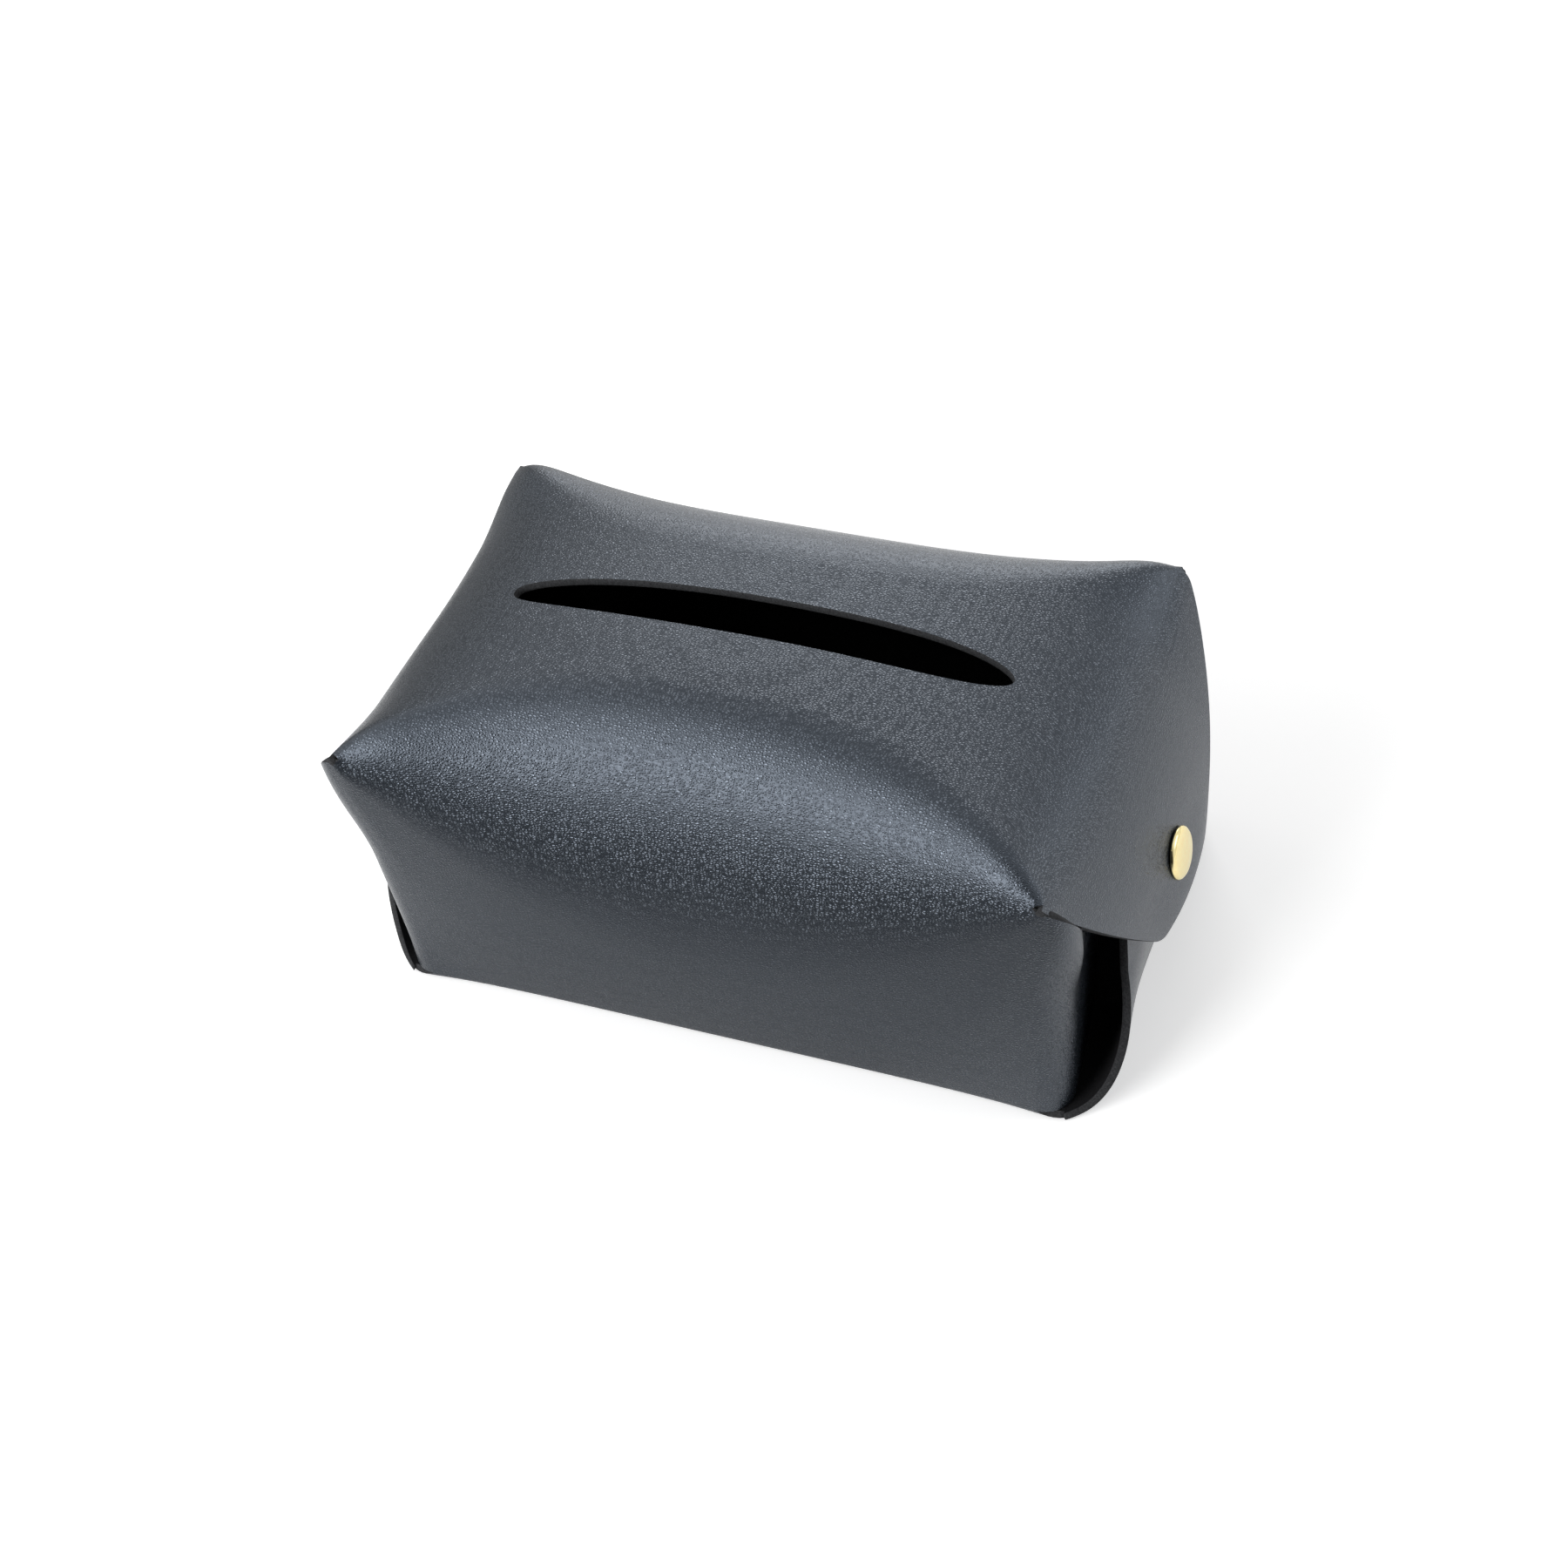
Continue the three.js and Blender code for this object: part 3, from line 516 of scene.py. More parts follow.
def grain_leather():
    """Black coated leather: flattened pebbles parted by fine creases, rougher than the pebbles and with
    painted shade that lowers their gloss, stretched a little along the box, over a slow change of tone and
    gloss."""
    mat, node, shade = material("grain_leather")
    place = node("ShaderNodeTexCoord").outputs["Object"]
    drift = node("ShaderNodeTexNoise", {"Vector": place}, Scale=420.0, Detail=2.0, Roughness=0.55)
    pull = node("ShaderNodeVectorMath", {0: drift.outputs["Color"]}, operation="SUBTRACT")
    pull.inputs[1].default_value = (0.5, 0.5, 0.5)
    shift = node("ShaderNodeVectorMath", {0: pull.outputs["Vector"]}, operation="SCALE", Scale=0.0003)
    bent = node("ShaderNodeVectorMath", {0: place, 1: shift.outputs["Vector"]}, operation="ADD")
    stretched = node("ShaderNodeMapping", {"Vector": bent.outputs["Vector"]}, Scale=(0.62, 1.0, 1.0))
    cells = node("ShaderNodeTexVoronoi", {"Vector": stretched.outputs["Vector"]}, feature="DISTANCE_TO_EDGE",
                 Scale=1 / GRAIN_SIZE, Randomness=0.85)
    pebble = ramp(node("ShaderNodeValToRGB", {"Fac": cells.outputs["Distance"]}),
                  [(0.0, BLACK), (0.5, WHITE)])
    pebble.color_ramp.interpolation = "EASE"
    height = pebble.outputs["Color"]
    fine = node("ShaderNodeTexNoise", {"Vector": place}, Scale=2600.0, Detail=3.0, Roughness=0.6)
    both = node("ShaderNodeMath", {0: fine.outputs["Fac"], 2: height}, operation="MULTIPLY_ADD")
    both.inputs[1].default_value = 0.2
    slow = node("ShaderNodeTexNoise", {"Vector": place}, Scale=26.0, Detail=3.0, Roughness=0.5)
    gloss = node("ShaderNodeMapRange", {"Value": slow.outputs["Fac"]}, **limits(0.3, 0.7, 0.19, 0.23))
    dips = node("ShaderNodeMapRange", {"Value": height}, **limits(0.0, 1.0, 0.08, 0.0))
    # Painted shade in the creases: the gloss falls from full on the pebble tops to 0.45 in the creases
    gloss_with_painted_crease_shade = node("ShaderNodeMapRange", {"Value": height}, **limits(0.0, 1.0, 0.45, 1.0))
    rough = node("ShaderNodeMath", {0: gloss.outputs["Result"], 1: dips.outputs["Result"]}, operation="ADD")
    tone = ramp(node("ShaderNodeValToRGB", {"Fac": slow.outputs["Fac"]}),
                [(0.3, (0.0100, 0.0124, 0.0160)), (0.7, (0.0124, 0.0152, 0.0194))])
    bump = node("ShaderNodeBump", {"Height": both.outputs["Value"]}, Strength=1.0, Distance=0.000068)
    shade({"Base Color": tone.outputs["Color"], "Roughness": rough.outputs["Value"],
           "Normal": bump.outputs["Normal"], "Specular IOR Level": gloss_with_painted_crease_shade.outputs["Result"]},
          {"IOR": 1.62, "Specular Tint": (0.74, 0.845, 1.0, 1)})
    return mat


def fibre_material(name, noise, low, high, bump, rough, gloss):
    """Matt leather fibre: one noise of a scale and detail sets the tone, from low to high, and the bump,
    of a strength and distance; rough and gloss are even."""
    mat, node, shade = material(name)
    place = node("ShaderNodeTexCoord").outputs["Object"]
    nap = node("ShaderNodeTexNoise", {"Vector": place}, Scale=noise[0], Detail=noise[1], Roughness=0.7)
    tone = ramp(node("ShaderNodeValToRGB", {"Fac": nap.outputs["Fac"]}), [low, high])
    relief = node("ShaderNodeBump", {"Height": nap.outputs["Fac"]}, Strength=bump[0], Distance=bump[1])
    shade({"Base Color": tone.outputs["Color"], "Normal": relief.outputs["Normal"]},
          {"Roughness": rough, "Specular IOR Level": gloss})
    return mat


def gold_plate():
    """Polished pale gold plating with faint wear, which changes its tone and gloss a little."""
    mat, node, shade = material("gold_plate")
    place = node("ShaderNodeTexCoord").outputs["Object"]
    wear = node("ShaderNodeTexNoise", {"Vector": place}, Scale=900.0, Detail=4.0, Roughness=0.6)
    rough = node("ShaderNodeMapRange", {"Value": wear.outputs["Fac"]}, **limits(0.35, 0.75, 0.13, 0.24))
    tone = ramp(node("ShaderNodeValToRGB", {"Fac": wear.outputs["Fac"]}),
                [(0.3, (0.80, 0.67, 0.33)), (0.7, (0.86, 0.74, 0.41))])
    shade({"Base Color": tone.outputs["Color"], "Roughness": rough.outputs["Result"]}, {"Metallic": 1.0})
    return mat


CUT_EDGE = fibre_material("cut_edge", (2200.0, 4.0), (0.3, (0.012, 0.012, 0.013)),
                          (0.75, (0.058, 0.060, 0.064)), (0.6, 0.0002), 0.85, 0.2)
SUEDE_BACK = fibre_material("suede_back", (1500.0, 5.0), (0.3, (0.006, 0.006, 0.007)),
                            (0.7, (0.014, 0.014, 0.015)), (0.5, 0.0003), 0.95, 0.12)
LEATHER = [grain_leather(), CUT_EDGE, SUEDE_BACK]
GOLD = [gold_plate()]

# The cover: closing strip, base, front wall, roll, top, roll and back wall in one sheet

def cover_stations():
    """Stations s along the box: even in the slit's lens angle, so that its ends are finely stepped, and
    then on to the fold."""
    lens = SLIT_HALF_LENGTH * np.sin(np.linspace(0, np.pi / 2, LENS_STATIONS))
    past = np.linspace(0, 1, REST_STATIONS)[1:] ** REST_POWER
    rest = SLIT_HALF_LENGTH + (CREST_END[0] - SLIT_HALF_LENGTH) * past
    share = np.linspace(0, 1, FINE_STATIONS)
    half = np.interp(np.concatenate([lens, rest]), crest(share)[:, 0], share)
    half[-1] = 1.0
    return np.concatenate([-half[:0:-1], half])


def cover_rows(s):
    """Rows of the cover at the stations s. The front part runs from the closing strip under the base and
    up the front to the slit's near lip; the back part runs from the back wall's foot to its far lip. The
    strip leans in a little, and its fold widens to the base's length by the square root of its turn."""
    def grid(surface, shares, back=False):
        t = np.asarray(shares, float)[:, None]
        return signed(surface, *np.broadcast_arrays(s[None, :], t), back=back)

    half = edge(np.abs(s), np.zeros_like(s))[:, 1]
    near = slit_lip(np.sign(s) * crest(np.abs(s))[:, 0]) / half
    aside = SLIT_SHIFT / half
    meet = landing(np.abs(s))
    tops = []
    for turn in (1, -1):
        across = meet + (turn * aside - near - meet) * np.linspace(0, 1, TOP_ROWS)[1:, None]
        level = np.broadcast_to(s[None, :], across.shape)
        tops.append(signed(top_arch, level, across) * np.array([1, turn, 1]))
    ones = np.ones_like(s)
    radius = SHEET + BASE_FOLD
    strip_x = np.outer(np.ones(STRIP_ROWS), SEAM_FLAP_HALF_LENGTH * s)
    strip_y = np.outer(np.linspace(1, SEAM_FLAP_LEAN, STRIP_ROWS) * SEAM_FLAP_Y, ones)
    strip_z = np.outer(np.linspace(SEAM_FLAP_HEIGHT, radius, STRIP_ROWS), ones)
    bend = np.linspace(0, np.pi / 2, FOLD_ROWS)[1:, None]
    bend_x = SEAM_FLAP_HALF_LENGTH + (FOOT[0] - SEAM_FLAP_HALF_LENGTH) * (bend / (np.pi / 2)) ** 0.5
    centre = strip_y[-1] - radius
    rear = np.stack([bend_x * s, centre + radius * np.cos(bend), radius * (1 - np.sin(bend)) * ones], -1)
    flat_y = np.linspace(1, 0, BASE_ROWS)[1:, None] * (centre + FOOT[1] - BASE_FOLD) - FOOT[1] + BASE_FOLD
    flat = np.stack([np.broadcast_to(FOOT[0] * s, flat_y.shape), flat_y, np.zeros_like(flat_y)], -1)
    heights = np.linspace(0, 1, WALL_ROWS)
    turns = np.linspace(0, 1, ROLL_ROWS)[1:]
    front = [np.stack([strip_x, strip_y, strip_z], -1), rear, flat]
    front += [grid(base_fold, np.linspace(0, 1, FOLD_ROWS)[1:]), grid(wall, heights[1:]), grid(roll, turns)]
    back_wall = grid(wall, heights, back=True)
    back_wall[0, :, 2] = BACK_FOOT_Z
    back = [back_wall, grid(roll, turns, back=True)]
    return np.concatenate(front + [tops[0]]), np.concatenate(back + [tops[1]])


def make_cover():
    """One welded mesh of the fixed sheet, open at the slit."""
    beyond = 1 + GHOST_STEP
    sheet = Sheet()
    parts = ((cover_stations(), False), (np.array([1.0, beyond]), True), (np.array([-beyond, -1.0]), True))
    for stations, ghost in parts:
        front, back = cover_rows(stations)
        sheet.add(front, ghost=ghost, flip=True)
        sheet.add(back, ghost=ghost)
    return thick(sheet, "leather_cover")


cover = make_cover()
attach(cover, "shell")
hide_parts("top_panel", "front_wall", "back_wall", "bottom_panel", "rear_seam_flap")

# Tongues

def rounded_off(left, radius):
    """How much a rounded corner takes off a half width where left is still to go to the tip: the radius
    less the half chord of its circle."""
    short = np.clip(radius - left, 0, None)
    return radius - np.sqrt(np.clip(radius**2 - short**2, 0, None))


def tongue(s, b):
    """Top tongue from the fold line (s 1) to its tip (s 2), which bows out in its middle over
    TIP_BOW_SPAN. Its tip's corners are rounded, and its back root corner is narrowed by
    BACK_ROOT_TUCK."""
    half = 1 - rounded_off((2 - s) * (EAR[2] - TIP[2]), TIP_RADIUS) / TIP[1]
    tuck = np.where(b > 0, BACK_ROOT_TUCK, 0.0) * (1 - smooth((s - 1) / ROOT_TUCK_END))
    across = b * (half - tuck)
    point = arch(s + SEAM_BOW * (1 - across**2) * (2 - s), across)
    bow = (1 - across**2) * smooth((s - 2 + TIP_BOW_SPAN) / TIP_BOW_SPAN)
    return point + bow[..., None] * TIP_BOW


def lower_path():
    """The lower tongue's middle line (x, z) from the base's edge to its tip, tabled by length: a Bezier
    up to LOWER_STRAIGHT_Z, then a straight line that lies behind the top tongue at the snap. Also returns
    the snap's point on the top tongue and the way out of its face."""
    share = np.linspace(0, 1, PATH_STATIONS)
    middle = crest(1 + share)
    at = np.argmin(np.abs(middle[:, 1] - SNAP_Z))
    down = middle[at + 1] - middle[at - 1]
    down /= np.linalg.norm(down)
    out = np.array([-down[1], down[0]])
    snap = middle[at] + out * LOWER_FACE
    slope = down / down[1]
    straight = snap + slope * (LOWER_STRAIGHT_Z - snap[1])
    tip = snap + slope * (LOWER_TOP_Z - snap[1])
    foot = np.array([FOOT[0], 0.0])
    curve = bezier(share, foot, foot + LOWER_FOOT_HANDLE, straight - slope * LOWER_RISE_HANDLE, straight)
    path = np.concatenate([curve, straight + (tip - straight) * share[1:, None]])
    length = np.concatenate([[0], np.cumsum(np.linalg.norm(np.diff(path, axis=0), axis=1))])
    return path, length, middle[at], out


LOWER_PATH, LOWER_LENGTHS, SNAP_FACE, SNAP_OUT = lower_path()


def lower_tongue(q, b):
    """Lower tongue by the share q of its length. Its width tapers, with its foot tucked in and its tip's
    corners rounded; its edges flare and its middle sags by half sines over the lower FLARE_SHARE."""
    total = LOWER_LENGTHS[-1]
    x = np.interp(q * total, LOWER_LENGTHS, LOWER_PATH[:, 0])
    z = np.interp(q * total, LOWER_LENGTHS, LOWER_PATH[:, 1])
    wave = np.sin(np.pi * np.clip(q / FLARE_SHARE, 0, 1))
    flare = np.where(b < 0, *LOWER_FLARE) * wave
    slack = LOWER_SLACK * (1 - b * b) * wave
    half = LOWER_TIP_Y + (FOOT[1] - LOWER_TIP_Y) * np.clip(1 - q, 0, 1) ** LOWER_TAPER_POWER
    half = half - rounded_off((1 - q) * total, LOWER_TIP_RADIUS)
    half = half - np.where(b < 0, *FOOT_TUCK) * (1 - smooth(q / FOOT_TUCK_SHARE))
    return np.stack([x + flare * b * b - slack, half * b, z], -1)


def stations_to_tip(start, end, rounding, count):
    """Even stations, then closer ones round the tip's corners by a quarter circle's angle."""
    plain = np.linspace(start, end - rounding, count)
    return np.concatenate([plain, end - rounding * (1 - np.sin(np.linspace(0, np.pi / 2, TIP_ROWS)[1:]))])


def across_stations(count):
    """Stations from -1 to 1, closer at both edges: EDGE_CROWDING of a sine in even steps."""
    even = np.linspace(-1, 1, count)
    return np.sin(even * np.pi / 2) * EDGE_CROWDING + even * (1 - EDGE_CROWDING)


def make_tongue(name, surface, stations, count, end):
    """A tongue's sheet, with a ghost strip before its first row, mirrored to the left end where end is
    -1."""
    sheet = Sheet()
    mirror = np.array([end, 1, 1])
    root = stations[0]
    for rows, ghost in ((stations, False), (np.array([root - GHOST_STEP, root]), True)):
        s, b = np.meshgrid(rows, across_stations(count), indexing="ij")
        sheet.add(surface(s, b) * mirror, ghost=ghost, flip=(end < 0) != (surface is lower_tongue))
    return thick(sheet, name)


def bend_at(obj):
    """Bakes the object's transform into its mesh."""
    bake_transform(obj)


for side, end in ENDS:
    rows = stations_to_tip(1, 2, TIP_RADIUS / (EAR[2] - TIP[2]), TONGUE_ROWS)
    top = make_tongue(f"leather_top_tongue_{side}", tongue, rows, TONGUE_STATIONS, end)
    bend_at(top)
    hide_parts(f"top_tongue_{side}")
    rows = stations_to_tip(0, 1, LOWER_TIP_RADIUS / LOWER_LENGTHS[-1], LOWER_ROWS)
    low = make_tongue(f"leather_lower_tongue_{side}", lower_tongue, rows, LOWER_STATIONS, end)
    bend_at(low)
    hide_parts(f"lower_tongue_{side}")

# Side flaps, joined to the walls round the upright folds

def flap(s, h, back=False):
    """Front right corner and side flap: s 0 to 1 wraps a quarter round from the wall's end, s 1 to 2 runs
    on across the end of the box, leaning in. Its top falls and its lower edge rises towards the free
    edge; h is the height share."""
    root = wall(np.ones_like(h), h, back)
    z = np.where(h > 0, root[..., 2], BACK_FOOT_Z if back else BASE_FOLD)
    turn = np.clip(s, 0, 1) * (np.pi / 2 + FLAP_LEAN)
    run = np.clip(s - 1, 0, 1)
    sunk = FLAP_SUNK[back] * smooth((z - FLAP_SUNK_Z) / FLAP_SUNK_REACH) * smooth(run / FLAP_SUNK_RUN)
    radius = corner_radius(z, back)
    x = root[..., 0] + radius * np.sin(turn) - math.sin(FLAP_LEAN) * run * FLAP_WIDTH - sunk
    y = root[..., 1] + radius * (1 - np.cos(turn)) + math.cos(FLAP_LEAN) * run * FLAP_WIDTH
    top = roll_foot(np.ones(1), back)[0][0, 2]
    rise = (z - BASE_FOLD) / (top - BASE_FOLD)
    fall = FLAP_FALL[back][0] * np.clip(s, 0, 1) ** FLAP_FALL_POWER[0]
    fall = fall + FLAP_FALL[back][1] * run ** FLAP_FALL_POWER[1]
    lift = FLAP_LIFT[back] * smooth(s) + FLAP_FOOT_RISE * run
    return np.stack([x, y, z - fall * rise + lift * (1 - rise)], -1)


def make_flap(name, end, turn):
    """A side flap's sheet from the wall's end round the fold, closely stepped up to FLAP_SUNK_RUN of its
    width, with a ghost strip of the wall before it; the front right one is mirrored to the other
    corners."""
    sheet = Sheet()
    wrap = np.linspace(0, 1, WRAP_STATIONS)
    near = np.linspace(0, FLAP_SUNK_RUN, WRAP_STATIONS)[1:]
    far = np.linspace(FLAP_SUNK_RUN, 1, FLAP_STATIONS)[1:]
    stations = np.concatenate([wrap, 1 + near, 1 + far])
    for surface, rows, ghost in ((flap, stations, False), (wall, np.array([1 - GHOST_STEP, 1.0]), True)):
        s, h = np.meshgrid(rows, np.linspace(0, 1, FLAP_ROWS), indexing="ij")
        sheet.add(surface(s, h, turn > 0) * np.array([end, -turn, 1]), ghost=ghost, flip=end * turn > 0)
    return thick(sheet, name)


for side, end in ENDS:
    for word, turn in SIDES:
        obj = make_flap(f"leather_side_flap_{word}_{side}", end, turn)
        corner = np.array([end, turn, 1])
        root, axis = FOLD_POINT * corner, FOLD_AXIS * corner
        along = np.array([-math.sin(FLAP_LEAN) * end, -math.cos(FLAP_LEAN) * turn, 0])
        along -= axis * (along @ axis)
        body = f"side_flap_{word}_{side}"
        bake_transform(obj)
        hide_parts(body)

# Snap fasteners, turned about the snap's axis

def turned(name, profile, end):
    """A closed profile of radius and depth, carried round the snap's axis."""
    profile = np.array(profile, float)
    angle = np.linspace(0, 2 * np.pi, SNAP_STEPS + 1)[:-1]
    out = np.array([SNAP_OUT[0], 0, SNAP_OUT[1]])
    across, rise = np.array([0, 1.0, 0]), np.array([-SNAP_OUT[1], 0, SNAP_OUT[0]])
    face = np.array([SNAP_FACE[0], 0, SNAP_FACE[1]])
    ring = across * np.cos(angle)[:, None] + rise * np.sin(angle)[:, None]
    grid = face + out * profile[:, 1][:, None, None] + ring[None] * profile[:, 0][:, None, None]
    grid = np.concatenate([grid, grid[:, :1]], axis=1) * np.array([end, 1, 1])
    sheet = Sheet()
    sheet.add(grid, flip=end < 0)
    points, quads, _ = sheet.weld()
    return finish_mesh(name, points, quads, GOLD)


ARC_STEPS, ARC_SHARE = 5, 0.45


def rounded(corners, radius):
    """A line through corners. Each inner corner becomes a quadratic arc that starts radius before it, or
    ARC_SHARE of the way to the next corner where that is less."""
    corners = np.array(corners, float)
    line = [corners[0]]
    t = np.linspace(0, 1, ARC_STEPS)[:, None]
    for before, corner, after in zip(corners[:-2], corners[1:-1], corners[2:]):
        a, b = before - corner, after - corner
        a *= min(radius / np.linalg.norm(a), ARC_SHARE)
        b *= min(radius / np.linalg.norm(b), ARC_SHARE)
        line.extend(corner + (1 - t) ** 2 * a + t**2 * b)
    line.append(corners[-1])
    return line


# Radii, and depths from the top tongue's grain side, each profile a list of radius and depth
CAP_RADIUS, CAP_HEIGHT = 6.5, 1.9
SHANK_RADIUS, SHANK_END = 2.1, -2.9
SOCKET_HOLE, SOCKET_RADIUS, SOCKET_TOP, SOCKET_END = 2.4, 5.2, -2.3, -4.2
STUD_HOLE, STUD_RADIUS, STUD_TOP, STUD_END = 1.2, 4.6, -4.5, -5.1
KNOB_RADIUS, KNOB_TOP = 1.95, -3.6
HEAD_RADIUS, HEAD_TOP, HEAD_HEIGHT = 4.0, -8.1, 0.7
POST_RADIUS = 0.9
CAP = [
    (0, SHANK_END),
    (SHANK_RADIUS, SHANK_END),
    (SHANK_RADIUS, 0.15),
    (CAP_RADIUS - 0.3, 0.1),
    (CAP_RADIUS, 0.45),
    (CAP_RADIUS - 0.25, 1.05),
    (CAP_RADIUS - 1.0, CAP_HEIGHT - 0.35),
    (3.0, CAP_HEIGHT - 0.08),
    (0, CAP_HEIGHT),
]
SOCKET = [
    (SOCKET_HOLE, SOCKET_TOP),
    (SOCKET_HOLE, SOCKET_END),
    (4.4, SOCKET_END),
    (SOCKET_RADIUS, SOCKET_TOP - 0.6),
    (SOCKET_RADIUS, SOCKET_TOP),
    (SOCKET_HOLE, SOCKET_TOP),
]
STUD = [
    (STUD_HOLE, STUD_END),
    (STUD_RADIUS, STUD_END),
    (STUD_RADIUS, STUD_TOP),
    (KNOB_RADIUS, STUD_TOP),
    (KNOB_RADIUS, KNOB_TOP),
    (STUD_HOLE, KNOB_TOP),
    (STUD_HOLE, STUD_END),
]
POST = [
    (0, HEAD_TOP - HEAD_HEIGHT),
    (3.6, HEAD_TOP - HEAD_HEIGHT),
    (HEAD_RADIUS, HEAD_TOP),
    (POST_RADIUS, HEAD_TOP),
    (POST_RADIUS, STUD_TOP),
    (0, STUD_TOP),
]
SNAP_PARTS = (("cap", CAP, 0.3, "top"), ("socket", SOCKET, 0.2, "top"),
              ("stud", STUD, 0.2, "lower"), ("post", POST, 0.2, "lower"))
for side, end in ENDS:
    for kind, corners, radius, host in SNAP_PARTS:
        obj = turned(f"gold_snap_{kind}_{side}", rounded(corners, radius), end)
        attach(obj, f"{host}_tongue_{side}")
        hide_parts(f"snap_{kind}_{side}")

# Floor, light and backdrop; lengths are metres, but for the floor's corners

# Dim parts of the room: the way to each, the cosines where it starts and is full, and its level
DIM_WAYS = (((-0.1, -0.98, 0.1), 0.25, 0.8, 0.03), ((-0.78, 0.61, 0.07), 0.87, 0.98, 0.33))
SKY_LEVEL = 0.4
FLOOR_REACH, FLOOR_Z = 12000.0, -0.05
# The floor's colour, and the level its colour falls to as painted shade, seen only by gloss rays in the dim
# parts of the room away from the box
FLOOR_TONE, PAINTED_ROOM_SHADE = (0.93, 0.93, 0.93, 1), 0.15
FLOOR_GLOW, FAR_GLOW = 0.42, 1.0
GLOW_START, GLOW_END = 0.4, 1.6
# An oval round the box, beyond which the floor's colour carries that painted shade for gloss rays: where the
# shade starts and is full, and the oval's shift and squeeze
PAINTED_SHADE_START, PAINTED_SHADE_END = 0.085, 0.18
PAINTED_SHADE_SHIFT, PAINTED_SHADE_SQUEEZE = (0.02, 0.0, 0.0), (0.5, 1.0, 1.0)


def seen_share(node, way):
    """How much of the white backdrop a ray sees: all of it for the camera's rays, none for those from
    matt surfaces, and for gloss and glass all but the dim parts of the room, smooth fades along DIM_WAYS.
    Returns that share and the fade alone."""
    fades = []
    for direction, start, full, level in DIM_WAYS:
        facing = node("ShaderNodeVectorMath", {0: way}, operation="DOT_PRODUCT")
        facing.inputs[1].default_value = direction
        fade = node("ShaderNodeMapRange", {"Value": facing.outputs["Value"]}, interpolation_type="SMOOTHSTEP",
                    **limits(start, full, 1.0, level))
        fades.append(fade.outputs["Result"])
    dim = node("ShaderNodeMath", dict(enumerate(fades)), operation="MINIMUM").outputs[0]
    path = node("ShaderNodeLightPath").outputs
    gloss = node("ShaderNodeMath", {0: path["Is Glossy Ray"], 1: path["Is Transmission Ray"]},
                 operation="ADD", use_clamp=True)
    share = node("ShaderNodeMath", {0: gloss.outputs[0], 1: dim, 2: path["Is Camera Ray"]},
                 operation="MULTIPLY_ADD", use_clamp=True)
    return share.outputs[0], dim


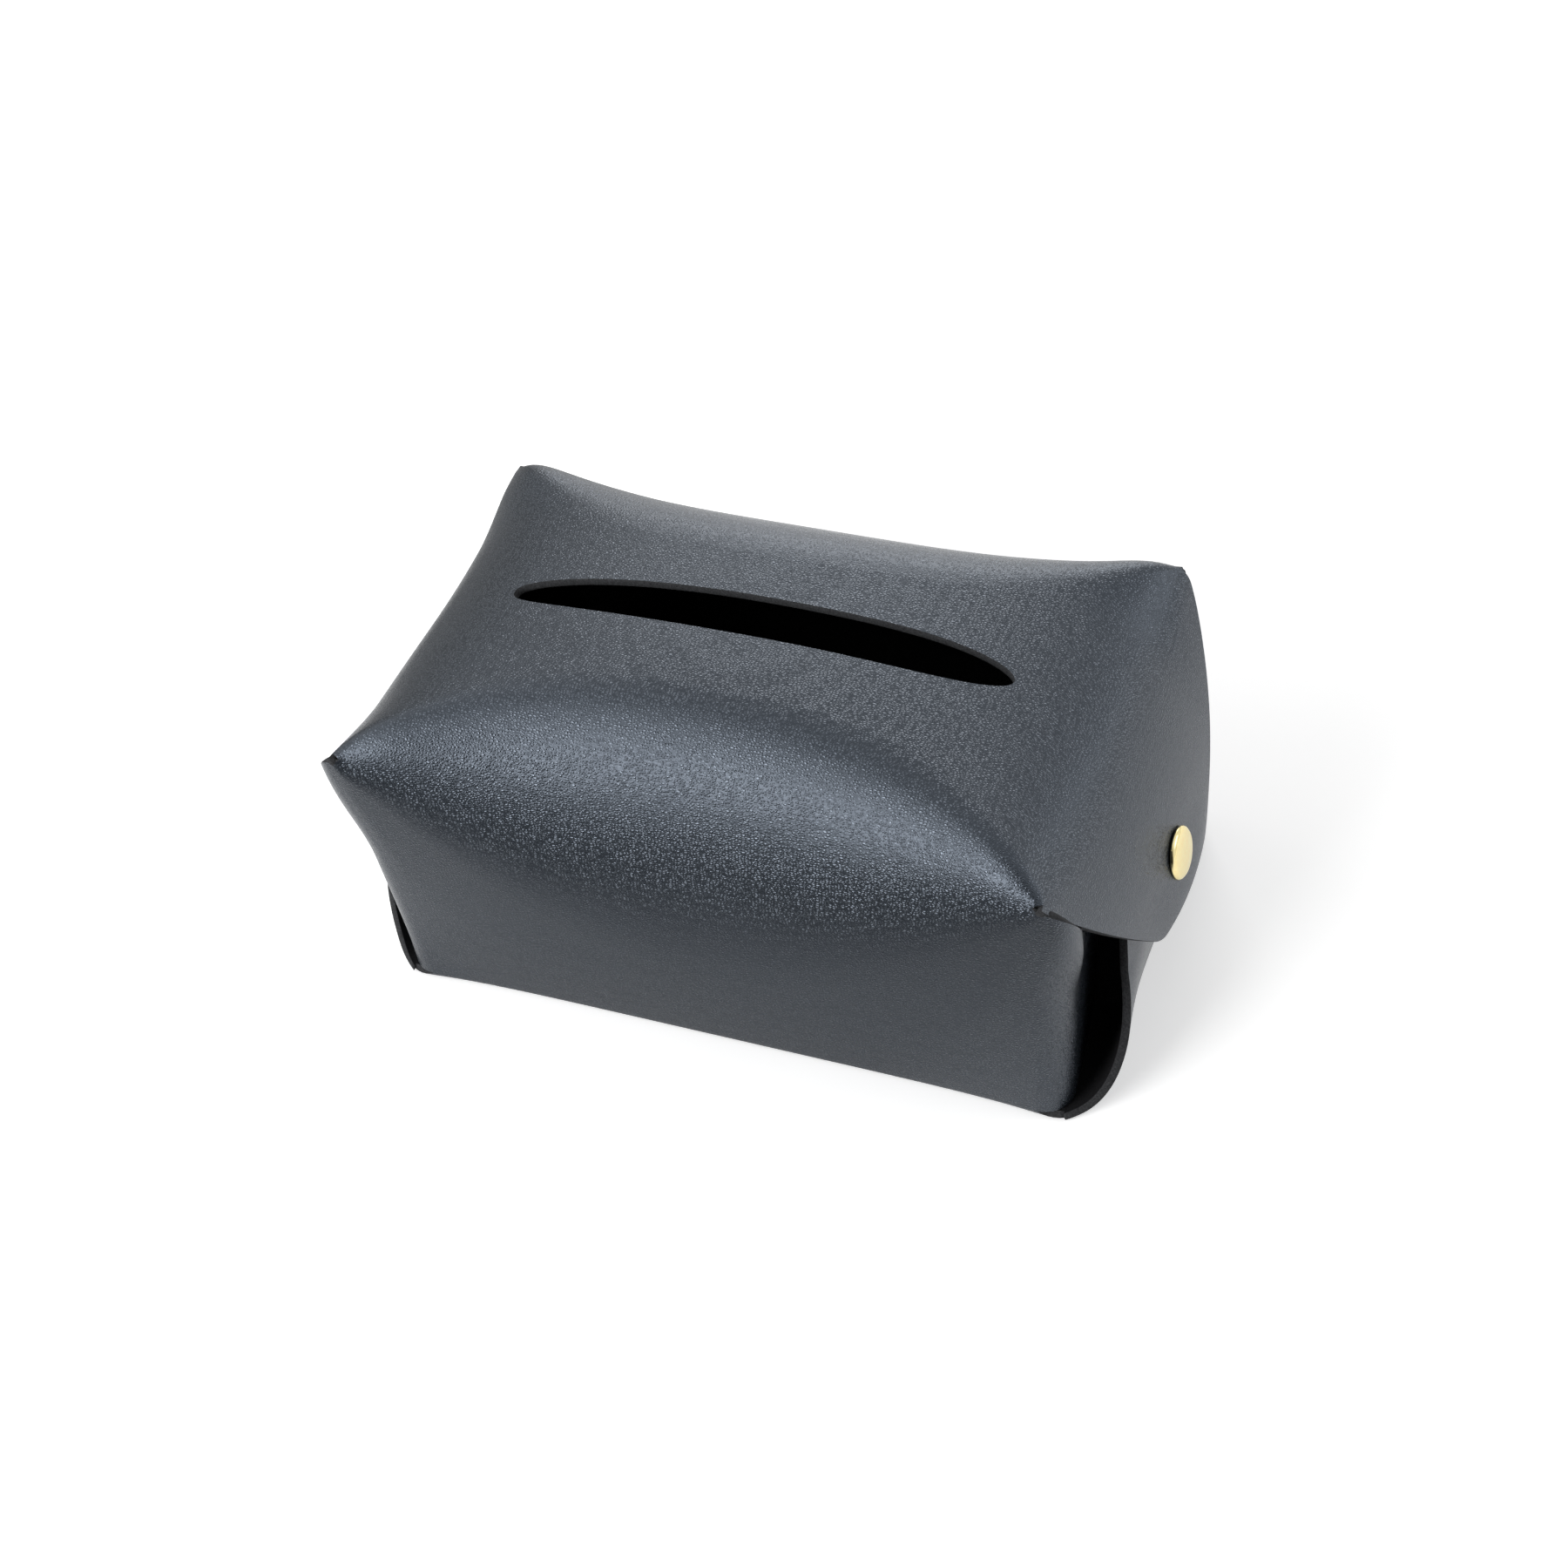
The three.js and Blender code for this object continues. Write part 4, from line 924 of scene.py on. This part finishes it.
def make_floor():
    """A wide pale floor under the box, whose glow grows with distance to the backdrop's white and is dim
    where the room is. Only for gloss, its colour carries painted shade: beyond an oval round the box it falls
    to the room's shade level in the dim parts, so reflections show a painted dark room."""
    places = [(-1, -1), (1, -1), (1, 1), (-1, 1)]
    corners = np.array([[x * FLOOR_REACH, y * FLOOR_REACH, FLOOR_Z] for x, y in places])
    mat, node, shade = material("pale_floor")
    place = node("ShaderNodeTexCoord").outputs["Object"]
    distance = node("ShaderNodeVectorMath", {0: place}, operation="LENGTH").outputs["Value"]
    way = node("ShaderNodeVectorMath", {0: place}, operation="NORMALIZE").outputs["Vector"]
    glow = node("ShaderNodeMapRange", {"Value": distance}, interpolation_type="SMOOTHSTEP",
                **limits(GLOW_START, GLOW_END, FLOOR_GLOW, FAR_GLOW))
    share, fade = seen_share(node, way)
    strength = node("ShaderNodeMath", {0: glow.outputs["Result"], 1: share}, operation="MULTIPLY")
    # Painted shade for gloss rays only: beyond an oval round the box, in the dim parts of the room, the
    # floor's colour falls to a dark level, a painted reflection of a dark room
    squeezed = node("ShaderNodeMapping", {"Vector": place}, Location=PAINTED_SHADE_SHIFT, Scale=PAINTED_SHADE_SQUEEZE)
    from_box = node("ShaderNodeVectorMath", {0: squeezed.outputs["Vector"]}, operation="LENGTH")
    painted_shade_oval = node("ShaderNodeMapRange", {"Value": from_box.outputs["Value"]}, interpolation_type="SMOOTHSTEP",
               **limits(PAINTED_SHADE_START, PAINTED_SHADE_END, 1.0, PAINTED_ROOM_SHADE))
    room = node("ShaderNodeMath", {0: painted_shade_oval.outputs["Result"], 1: fade}, operation="MAXIMUM").outputs["Value"]
    gloss = node("ShaderNodeLightPath").outputs["Is Glossy Ray"]
    tone = node("ShaderNodeMapRange", {"Value": gloss, "To Max": room}, **{"To Min": 1.0})
    white = node("ShaderNodeMix", {"Factor": tone.outputs["Result"]}, data_type="RGBA")
    white.inputs["A"].default_value = (*BLACK, 1)
    white.inputs["B"].default_value = FLOOR_TONE
    colour = [output for output in white.outputs if output.type == "RGBA"][0]
    shade({"Emission Strength": strength.outputs["Value"], "Base Color": colour},
          {"Emission Color": (*WHITE, 1), "Roughness": 0.9, "Specular IOR Level": 0.1})
    floor = finish_mesh("floor", corners, np.array([[0, 1, 2, 3]]), [mat])


def make_world():
    """A white backdrop for what the camera and gloss see, and a softer sky of SKY_LEVEL for the light on
    matt surfaces; gloss and sky are dim along DIM_WAYS."""
    world = bpy.data.worlds.new("studio")
    bpy.context.scene.world = world
    world.use_nodes = True
    tree = world.node_tree
    node = node_maker(tree)
    share, fade = seen_share(node, node("ShaderNodeTexCoord").outputs["Generated"])
    sky = node("ShaderNodeMath", {0: fade}, operation="MULTIPLY")
    sky.inputs[1].default_value = SKY_LEVEL
    level = node("ShaderNodeMath", {0: sky.outputs[0], 1: share}, operation="MAXIMUM")
    tree.links.new(level.outputs[0], tree.nodes["Background"].inputs["Strength"])
    tree.nodes["Background"].inputs["Color"].default_value = (*WHITE, 1)


LAMP_AIM = Vector((0, 0, 0.05))
# Name, azimuth and elevation in degrees, distance, size, and the radiance of its face
LAMPS = (
    ("front_softbox", -117, 21, 0.9, (0.55, 0.40), 8.2),
    ("high_softbox", -130, 48, 1.0, (0.6, 0.40), 2.9),
    ("back_softbox", 106, 26, 1.2, (0.8, 0.5), 3.1),
    ("left_softbox", 172, 40, 1.1, (0.7, 0.6), 0.6),
    ("right_softbox", 18, 32, 1.1, (0.7, 0.5), 2.0),
)


def make_lamp(name, azimuth, elevation, distance, size, radiance):
    """A soft rectangular lamp that faces LAMP_AIM; its power is its radiance times pi times its area."""
    a, e = math.radians(azimuth), math.radians(elevation)
    place = Vector((math.cos(a) * math.cos(e), math.sin(a) * math.cos(e), math.sin(e))) * distance + LAMP_AIM
    data = bpy.data.lights.new(name, "AREA")
    data.shape = "RECTANGLE"
    data.size, data.size_y = size
    data.energy = radiance * math.pi * size[0] * size[1]
    lamp = bpy.data.objects.new(name, data)
    bpy.context.scene.collection.objects.link(lamp)
    lamp.location = place
    lamp.rotation_euler = (LAMP_AIM - place).to_track_quat("-Z", "Y").to_euler()


make_floor()
make_world()
for lamp in LAMPS:
    make_lamp(*lamp)
bpy.context.scene.view_settings.view_transform = "Standard"
